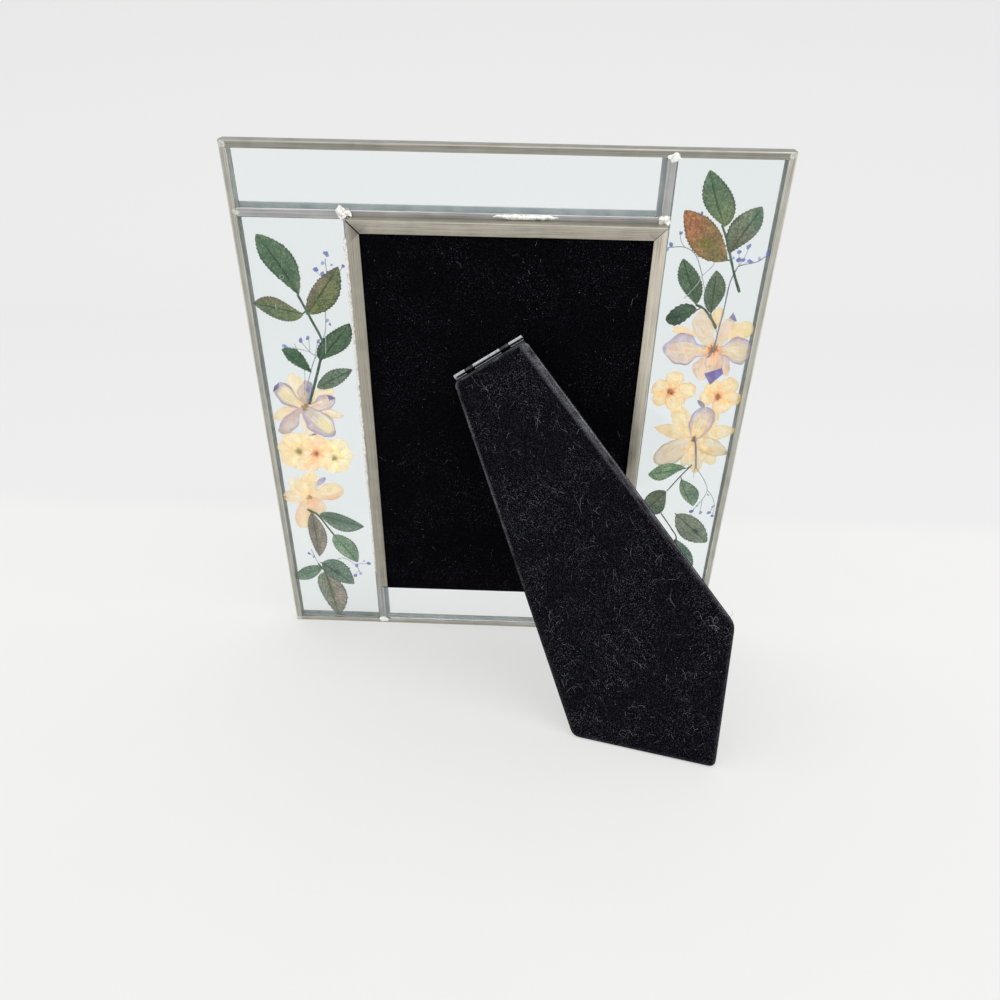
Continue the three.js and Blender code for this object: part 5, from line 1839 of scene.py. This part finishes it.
RIGHT_CREAM_FLOWER = PressedFlower(
    "right_cream_flower", (74.9, 133.2),
    [
        Blade((79.0, 138.3), (87.4, 142.7), (3.0, 0.5), (3.6, 0.6), Hues("#F2DA95", "#F6E1A1"), full=0.4),
        Blade((74.4, 140.0), (75.1, 148.8), (2.1, 0.7), (1.9, 0.7), Hues("#F0D591", "#F4DB99"), full=0.45),
        Blade((69.0, 138.0), (59.4, 140.8), (1.8, 0.6), (1.8, 0.6), Hues("#F3DBA1", "#F8E5B5"), full=0.6),
        Blade((79.8, 143.8), (79.8, 147.2), (1.5, 0.3), (1.5, 0.3), Hues("#6E68B4", "#554CA0"),
              angular=True, material=1, outline=((78.0, 143.9), (81.6, 143.9))),
        Blade((73.3, 132.2), (72.4, 121.0), (3.0, 0.5), (4.2, 0.54),
              Hues("#F0D5A5", "#F2DAB9", right="#E8CBB9"), full=0.55,
              outline=((70.1, 128.9), (68.6, 125.8), (70.2, 122.8), (75.6, 128.0), (75.6, 123.4))),
        Blade((76.3, 131.8), (81.6, 123.2), (3.4, 0.45), (1.9, 0.5),
              Hues("#F1CD9B", "#F0C79D", left="#DCBFB5"), full=0.6),
        Blade((76.0, 133.8), (79.2, 145.0), (2.4, 0.7), (2.5, 0.65),
              Hues("#EBD1A5", "#EAD5BF", heart="#F2B060"), full=0.45,
              outline=((76.0, 139.6), (76.6, 143.8), (81.1, 144.0), (80.4, 140.5), (78.8, 136.2))),
        Blade((74.0, 134.2), (68.4, 147.6), (3.8, 0.6), (3.2, 0.62),
              Hues("#EBD4AD", "#EAD7BF", heart="#F2B464", left="#E9D9BB"), full=0.55,
              outline=((70.1, 136.3), (67.1, 140.1), (66.1, 143.4), (72.5, 145.0), (73.9, 140.3))),
        Blade((76.4, 133.0), (89.2, 133.0), (5.2, 0.6), (4.9, 0.66),
              Hues("#F0CF99", "#E6D7A9", heart="#F2B874", left="#DCC9C9", rim="#C4B2CC", rim_from=0.62,
                   spots=((0.5, 0.0, 0.32, "#F0DFB9"),)), material=1,
              outline=((78.3, 134.8), (80.8, 137.3), (83.7, 138.0), (86.6, 137.1), (88.6, 134.8),
                       (88.6, 131.0), (86.1, 127.9), (83.0, 128.1), (79.8, 130.7))),
        Blade((74.7, 132.0), (76.9, 121.8), (3.5, 0.45), (3.0, 0.5),
              Hues("#F2C688", "#E0CBB5", heart="#F2AE66", left="#DCC6B7", right="#E2CDB9"), full=0.45,
              material=1),
        Blade((73.2, 132.8), (56.9, 133.4), (6.0, 0.6), (6.1, 0.58),
              Hues("#F4DA99", "#E8D1BF", heart="#F2B96D", right="#C6BADA", left="#E6D1C7",
                   rim="#B6A8CE", rim_from=0.85,
                   spots=((0.55, -0.02, 0.18, "#F2C785"), (0.85, -0.04, 0.16, "#E8BC94"))), material=1,
              outline=((71.9, 133.4), (69.0, 135.3), (67.1, 138.2), (64.2, 139.3), (61.6, 138.6),
                       (58.7, 135.7), (57.6, 131.7), (60.8, 128.5), (64.4, 127.1), (67.1, 127.4),
                       (69.2, 130.1))),
        Blade((79.2, 126.4), (76.0, 119.6), (2.9, 0.28), (3.3, 0.3), Hues("#6258C4", "#4A3FB0"),
              angular=True, material=1, outline=((73.2, 124.0), (80.2, 124.2))),
    ],
    FLOWER_DEPTH - 0.02, eye="#E8A860", eye_size=2.3, filaments=34,
)
RIGHT_YELLOW_FLOWER_1 = PressedFlower(
    "right_yellow_flower_1", (62.1, 116.3),
    rosette((62.1, 116.3), ((63.8, 124.4), (55.4, 118.6), (56.4, 111.4), (66.0, 108.9), (71.5, 117.2)), 3.3,
            ORANGE_HEART, full=0.48, notch=0.13),
    FLOWER_DEPTH, eye="#E89A5C", eye_size=1.5, filaments=26, slot=Slot.YELLOW_PETAL,
)
RIGHT_YELLOW_FLOWER_2 = PressedFlower(
    "right_yellow_flower_2", (79.6, 114.6),
    rosette((79.6, 114.6), ((76.2, 121.0), (85.3, 121.8), (88.4, 113.8), (83.2, 108.4), (72.9, 114.0)), 3.2,
            ORANGE_HEART, full=0.48, notch=0.13),
    FLOWER_DEPTH, eye="#E89A5C", eye_size=1.4, filaments=26, slot=Slot.YELLOW_PETAL,
)
RIGHT_LARGE_FLOWER = PressedFlower(
    "right_cream_flower_large", (73.5, 97.0),
    [
        Blade((75.2, 98.6), (79.6, 109.4), (4.4, 0.66), (4.0, 0.66), Hues("#F2DFA6", "#F6E6B8"), full=0.5),
        Blade((72.6, 98.0), (64.8, 110.0), (3.6, 0.66), (3.4, 0.66), Hues("#F3DE9E", "#F7E5AE"), full=0.5),
        Blade((76.0, 95.6), (82.8, 85.8), (2.8, 0.6), (2.6, 0.6), Hues("#F0DBA4", "#F3DFA8"), full=0.55),
        Blade((74.0, 95.5), (76.6, 81.6), (3.0, 0.6), (3.0, 0.6), Hues("#EEDBAE", "#F2E0B2"), full=0.55),
        Blade((75.0, 97.8), (89.0, 101.4), (3.2, 0.5), (3.2, 0.55), Hues("#F3DFA6", "#F6E3AE"), full=0.75,
              bow=0.6),
        Blade((72.5, 97.6), (57.9, 101.4), (2.9, 0.52), (2.7, 0.6), Hues("#F2DCA4", "#F5DFA8"), full=0.85,
              bow=-0.5),
        Blade((72.5, 96.3), (59.8, 85.9), (4.9, 0.66), (4.7, 0.62),
              Hues("#EEDCB4", "#EAD8BC", rim="#D9C8A0", rim_from=0.82), full=0.5, material=1),
        Blade((75.0, 96.6), (87.4, 90.8), (3.2, 0.5), (3.6, 0.52),
              Hues("#EED9AC", "#E8DAB0", left="#E9DAB8", rim="#B4B88C", rim_from=0.86), full=0.7),
        Blade((73.6, 96.2), (71.0, 84.6), (2.4, 0.6), (2.2, 0.6), SAND, full=0.55),
        Blade((74.1, 98.6), (77.0, 110.6), (4.6, 0.62), (4.8, 0.6),
              Hues("#F0E0A8", "#DAD0D4", rim="#C2B6CE", rim_from=0.5,
                   spots=((0.5, 0.0, 0.3, "#EADFC4"),)), full=0.5, material=1),
        Blade((75.4, 110.2), (72.4, 113.4), (0.8, 0.4), (1.0, 0.4), Hues("#9AA0AE", "#7E8698"), ruffle=0.12,
              material=1),
    ],
    FLOWER_DEPTH - 0.04, eye="#CDB47C", eye_size=1.6, filaments=26,
)

# In the order in which they are laid between the sheets.
PLANTS: tuple[LeafSpray | BlueSprig | PressedFlower, ...] = (
    LEFT_SPRAY_UPPER, LEFT_SPRAY_MIDDLE, LEFT_SPRAY_LOWER, LEFT_SPRIG_UPPER, LEFT_SPRIG_LOWER,
    LEFT_CREAM_FLOWER, LEFT_YELLOW_FLOWER_1, LEFT_YELLOW_FLOWER_2, LEFT_YELLOW_FLOWER_3, LEFT_LARGE_FLOWER,
    RIGHT_SPRAY_TOP, RIGHT_SPRAY_SECOND, RIGHT_PAIR, RIGHT_SMALL_LEAF, RIGHT_GREY_LEAF, RIGHT_SPRAY_LOWEST,
    RIGHT_SPRIG_UPPER, RIGHT_SPRIG_LOWER, RIGHT_CREAM_FLOWER, RIGHT_YELLOW_FLOWER_1, RIGHT_YELLOW_FLOWER_2,
    RIGHT_LARGE_FLOWER,
)


# ---------------------------------------------------------------- easel back


@dataclass(frozen=True)
class BackFace:
    """The face of a board that looks away from the frame: its middle, its two axes and its corners."""

    middle: Vector
    right: Vector
    up: Vector
    corners: list[Spot]

    @classmethod
    def of(cls, node: str) -> "BackFace":
        """Finds that face of a board's CAD node."""
        bm = PANEL.copy_of(node)
        face = max(bm.faces, key=lambda item: item.calc_area() * -item.normal.y)
        normal = face.normal.copy()
        middle = face.calc_center_median()
        right = (Vector((1, 0, 0)) - normal * normal.x).normalized()
        up = normal.cross(right)
        corners = [((vert.co - middle).dot(right), (vert.co - middle).dot(up)) for vert in face.verts]
        bm.free()
        return cls(middle, right, up, corners)

    def point(self, x: float, y: float, height: float) -> Vector:
        """Gives a point over the face, on the panel."""
        return self.middle + self.right * x + self.up * y + self.right.cross(self.up) * height

    def somewhere(self, dice: random.Random, margin: float) -> Spot:
        """Picks a place on the face.

        Args:
            dice: The source of chance.
            margin: The least distance from its sides.

        Returns:
            The place, across and up.
        """
        across, up = zip(*self.corners)
        while True:
            x, y = dice.uniform(min(across), max(across)), dice.uniform(min(up), max(up))
            if inside(x, y, self.corners, margin):
                return x, y


@dataclass
class VelvetBoard:
    """A fibreboard wrapped in flocked velvet, with rounded rims that carry wear and painted highlight."""

    node: str
    body: Body
    rim: float
    seed: int
    hairs: int
    specks: int
    wear_and_highlight: float = 0.8
    wear_and_highlight_to: float = 60.0
    soft: float = 0.5
    band: float = 0.0
    tangle: int = 0
    lie: float = 1.3
    thread: float = 1.0
    finish: FlockedVelvet = field(default_factory=lambda: VELVET)
    pile: float = 0.05
    wide_area: float = 12.0
    long_edge: float = 8.0
    cuts: int = 39
    knot_steps: int = 26
    knot_step: float = 0.36
    knot_thread: float = 0.042
    knot_from_right: float = 7.5
    knot_over_corner: float = 2.5

    def build(self) -> list[Piece]:
        """Wraps the board, then scatters its lint."""
        back = BackFace.of(self.node)
        bm = PANEL.copy_of(self.node)
        round_over(bm, [edge for edge in bm.edges if edge.calc_face_angle(0) > 0.9], self.rim, 4)
        edge_wear_and_highlight = bm.verts.layers.float.new("edge_wear_and_highlight")
        wide = [face for face in bm.faces if face.calc_area() > self.wide_area]
        for face in wide:
            long = [edge for edge in face.edges if edge.calc_length() > self.long_edge]
            bmesh.ops.subdivide_edges(bm, edges=long, cuts=self.cuts, use_grid_fill=False)
            half = face.calc_area() / sum(edge.calc_length() for edge in face.edges)
            step_in = min(self.soft, half * 0.5)
            bmesh.ops.inset_region(bm, faces=[face], thickness=step_in, use_even_offset=True)
        near = self._band_of_wear_and_highlight(bm, back.middle, wide) if self.band else {}
        flat = {vert for face in bm.faces if face.calc_area() > self.wide_area for vert in face.verts}
        top = max(vert.co.z for vert in bm.verts)
        bm.normal_update()
        for vert in bm.verts:
            below = top - vert.co.z
            grain = noise.noise(vert.co / 3)
            if vert in flat:
                # A strip along the right side of the back face, strongest near the top, is lightened: wear
                # and painted highlight.
                vert[edge_wear_and_highlight] = 0.5 * near.get(vert, 0.0) * (0.7 + grain) * (1 - smooth_step(below, 12, 50))
            else:
                # Rims facing right, towards the light, get more: painted highlight as well as wear, fading
                # lower down.
                right_lit = 0.35 + 0.65 * smooth_step(vert.normal.x, 0.0, 0.5)
                fade = 1 - 0.75 * smooth_step(below, self.wear_and_highlight_to * 0.4, self.wear_and_highlight_to)
                vert[edge_wear_and_highlight] = max(self.wear_and_highlight * (0.7 + grain) * right_lit * fade, 0.05)
        piece = make_piece(
            self.node + "_velvet", bm, [self.finish], self.body, [self.node], SOFT_TURN
        )
        return [piece, self._lint(back)]

    def _band_of_wear_and_highlight(
        self, bm: Mesh, middle: Vector, wide: list[bmesh.types.BMFace]
    ) -> dict[bmesh.types.BMVert, float]:
        """Cuts the back face along its long right side, where the strip of wear and painted highlight ends.

        Args:
            bm: The board.
            middle: The middle of its back face.
            wide: Its wide faces.

        Returns:
            How near each corner of that strip is to that side, from 0 to 1.
        """
        back = min(wide, key=lambda face: (face.calc_center_median() - middle).length)
        turned = [vert.co for vert in back.verts if vert.co.x > middle.x]
        high, low = max(turned, key=lambda co: co.z), max(turned, key=lambda co: co.x)
        across = back.normal.cross(low - high).normalized()
        across *= -1 if across.x > 0 else 1
        geom = [back, *back.edges, *back.verts]
        inner = high + across * self.band
        cut = bmesh.ops.bisect_plane(bm, geom=geom, plane_co=inner, plane_no=across, dist=1e-4)["geom_cut"]
        halves = {face for vert in cut if isinstance(vert, bmesh.types.BMVert) for face in vert.link_faces}
        corners = {vert for face in halves if face.calc_area() > self.wide_area for vert in face.verts}
        return {vert: max(1 - (vert.co - high).dot(across) / self.band, 0.0) for vert in corners}

    def _lint(self, back: BackFace) -> Piece:
        """Scatters short curled hairs, a knot of threads and flecks of dust over the velvet."""
        dice = random.Random(self.seed)
        bm = bmesh.new()
        for _ in range(self.hairs):
            self._hair(bm, back, dice)
        for turn in range(self.tangle):
            self._knot_thread(bm, back, turn)
        for _ in range(self.specks):
            x, y = back.somewhere(dice, 1.5)
            size = dice.choice((0.03, 0.04, 0.04, 0.05, 0.05, 0.07, 0.11))
            place = Matrix.Translation(back.point(x, y, self.pile))
            fleck = bmesh.ops.create_icosphere(bm, subdivisions=1, radius=size, matrix=place)
            for vert in fleck["verts"]:
                vert.co += wander(vert.co * 7, 1, size * 0.7)
        return make_piece(self.node + "_lint", bm, [LINT], self.body)

    def _hair(self, bm: Mesh, back: BackFace, dice: random.Random) -> None:
        """Lays one short curled hair, unless it would hang over a side."""
        x, y = back.somewhere(dice, 3)
        heading = dice.gauss(self.lie, 0.7)
        curl = dice.gauss(0, 0.3)
        step = dice.uniform(0.18, 0.5) * self.thread
        lift = dice.uniform(0.05, 0.2)
        joints = dice.choice((4, 5, 5, 6, 6, 7, 13))
        curl *= 5 / joints
        path = []
        for i in range(joints):
            path.append(back.point(x, y, self.pile + lift * math.sin(math.pi * i / joints)))
            heading += curl + dice.uniform(-0.25, 0.25)
            x += step * math.cos(heading)
            y += step * math.sin(heading)
        if inside(x, y, back.corners, 0.5):
            thick = dice.uniform(0.012, 0.026) * self.thread
            sweep(bm, path, [thick] * len(path), sides=3)

    def _knot_thread(self, bm: Mesh, back: BackFace, turn: int) -> None:
        """Lays one long thread of the knot near the board's right corner."""
        corner = max(back.corners)
        heading = turn * 2.4
        x = corner[0] - self.knot_from_right + math.cos(heading)
        y = corner[1] + self.knot_over_corner + math.sin(heading)
        path = []
        for i in range(self.knot_steps):
            path.append(back.point(x, y, self.pile + 0.25 * math.sin(i / 4) ** 2))
            heading += 0.32 * math.sin(turn + i / 5) + 0.12
            x += self.knot_step * math.cos(heading)
            y += self.knot_step * math.sin(heading)
        sweep(bm, path, [self.knot_thread] * len(path), sides=3)


def inside(x: float, y: float, corners: Sequence[Spot], margin: float) -> bool:
    """Tells if a place is inside an outline, at least a margin from its sides.

    Args:
        x: The place across.
        y: The place up.
        corners: The outline.
        margin: The least distance from it.

    Returns:
        True if it is.
    """
    within = False
    place = Vector((x, y))
    for (ax, ay), (bx, by) in zip(corners, [*corners[1:], corners[0]]):
        if (ay > y) != (by > y) and x < (bx - ax) * (y - ay) / (by - ay) + ax:
            within = not within
        a, run = Vector((ax, ay)), Vector((bx - ax, by - ay))
        if run.length_squared < 1e-9:
            continue
        t = min(max((place - a).dot(run) / run.length_squared, 0), 1)
        if (a + run * t - place).length < margin:
            return False
    return within


@dataclass
class EaselBack:
    """The board, the leg and the hinge between them."""

    def build(self) -> None:
        """Makes both velvet boards and dresses the hinge."""
        VelvetBoard("easel_board", Body.BACK, rim=0.35, seed=11, hairs=170, specks=520, wear_and_highlight=0.25).build()
        VelvetBoard(
            "easel_leg", Body.LEG, rim=0.5, seed=23, hairs=620, specks=1300, wear_and_highlight=1.0, wear_and_highlight_to=90, soft=0.9,
            band=2.8, tangle=6, lie=2.0, thread=1.3, finish=WORN_VELVET,
        ).build()
        # The board's leaf and knuckles take the darker copy: painted shade.
        finishes = {"hinge_leaf_board": SHADED_STEEL, "hinge_leaf_leg": STEEL, "hinge_pin": STEEL}
        for node, steel in finishes.items():
            data = frame["nodes"][node].data
            data.materials.clear()
            data.materials.append(steel.material())


# ---------------------------------------------------------------- studio


@dataclass
class Studio:
    """A pale table, soft light from all round, and the camera."""

    eye: Vector = field(default_factory=lambda: Vector((0.0063, -0.2707, 0.1818)))
    look: Vector = field(default_factory=lambda: Vector((-0.0191, 0.9323, -0.3611)))
    up: Vector = field(default_factory=lambda: Vector((-0.0305, 0.3605, 0.9323)))
    lens: float = 28.8
    sensor: float = 36.0
    half_width: float = 40.0
    near: float = -30.0
    bend_from: float = 0.9
    bend: float = 0.5
    height: float = 2.5

    def build(self) -> None:
        """Sets up the camera, the floor and the lights."""
        self._camera()
        self._floor()
        self._lights()

    def _camera(self) -> None:
        """Makes the camera."""
        data = bpy.data.cameras.new("camera")
        data.lens, data.sensor_width = self.lens, self.sensor
        data.clip_start, data.clip_end = 0.01, 50
        camera = bpy.data.objects.new("camera", data)
        back = -self.look.normalized()
        right = self.up.cross(back).normalized()
        axes = Matrix((right, back.cross(right), back)).transposed().to_4x4()
        camera.matrix_world = Matrix.Translation(self.eye) @ axes
        bpy.context.scene.collection.objects.link(camera)
        bpy.context.scene.camera = camera

    def _floor(self) -> None:
        """Makes the table, which curves up into the backdrop far behind the frame."""
        quarter = self.bend * math.pi / 2
        flat = self.bend_from - self.near
        whole = flat + quarter + self.height - self.bend
        bm = bmesh.new()
        bmesh.ops.create_grid(bm, x_segments=4, y_segments=1000, size=0.5)
        for vert in bm.verts:
            run = (vert.co.y + 0.5) * whole
            turn = min(max(run - flat, 0), quarter) / self.bend
            y = self.near + min(run, flat) + self.bend * math.sin(turn)
            z = self.bend * (1 - math.cos(turn)) + max(run - flat - quarter, 0)
            vert.co = Vector((vert.co.x * 2 * self.half_width, y, z))
        mesh = bpy.data.meshes.new("floor")
        bm.to_mesh(mesh)
        bm.free()
        mesh.shade_smooth()
        floor = bpy.data.objects.new("floor", mesh)
        mesh.materials.append(FLOOR.material())
        bpy.context.scene.collection.objects.link(floor)

    def _lights(self) -> None:
        """Makes an even pale surround and one large soft light above."""
        world = bpy.data.worlds.new("pale_surround")
        world.use_nodes = True
        surround = world.node_tree.nodes["Background"]
        surround.inputs["Color"].default_value = linear("#F6F7F8")
        surround.inputs["Strength"].default_value = 1.28
        bpy.context.scene.world = world
        for name, spot, size, power in (
            ("key", Vector((0.6, -0.5, 1.1)), 0.9, 3.0),
            ("top", Vector((-0.3, 0.3, 1.2)), 1.0, 0.7),
        ):
            data = bpy.data.lights.new(name, "AREA")
            data.size, data.energy = size, power
            lamp = bpy.data.objects.new(name, data)
            lamp.location = spot
            lamp.rotation_mode = "QUATERNION"
            lamp.rotation_quaternion = (-spot).to_track_quat("-Z", "Y")
            bpy.context.scene.collection.objects.link(lamp)
        bpy.context.scene.view_settings.view_transform = "Standard"


def main() -> None:
    """Builds the sub-assemblies in order and reports each piece."""
    logging.basicConfig(level=logging.INFO, format="%(message)s")
    noise.seed_set(NOISE_SEED)
    Studio().build()
    LeadedFrame().build()
    for plant in PLANTS:
        plant.build()
    EaselBack().build()


if __name__ == "__main__":
    main()
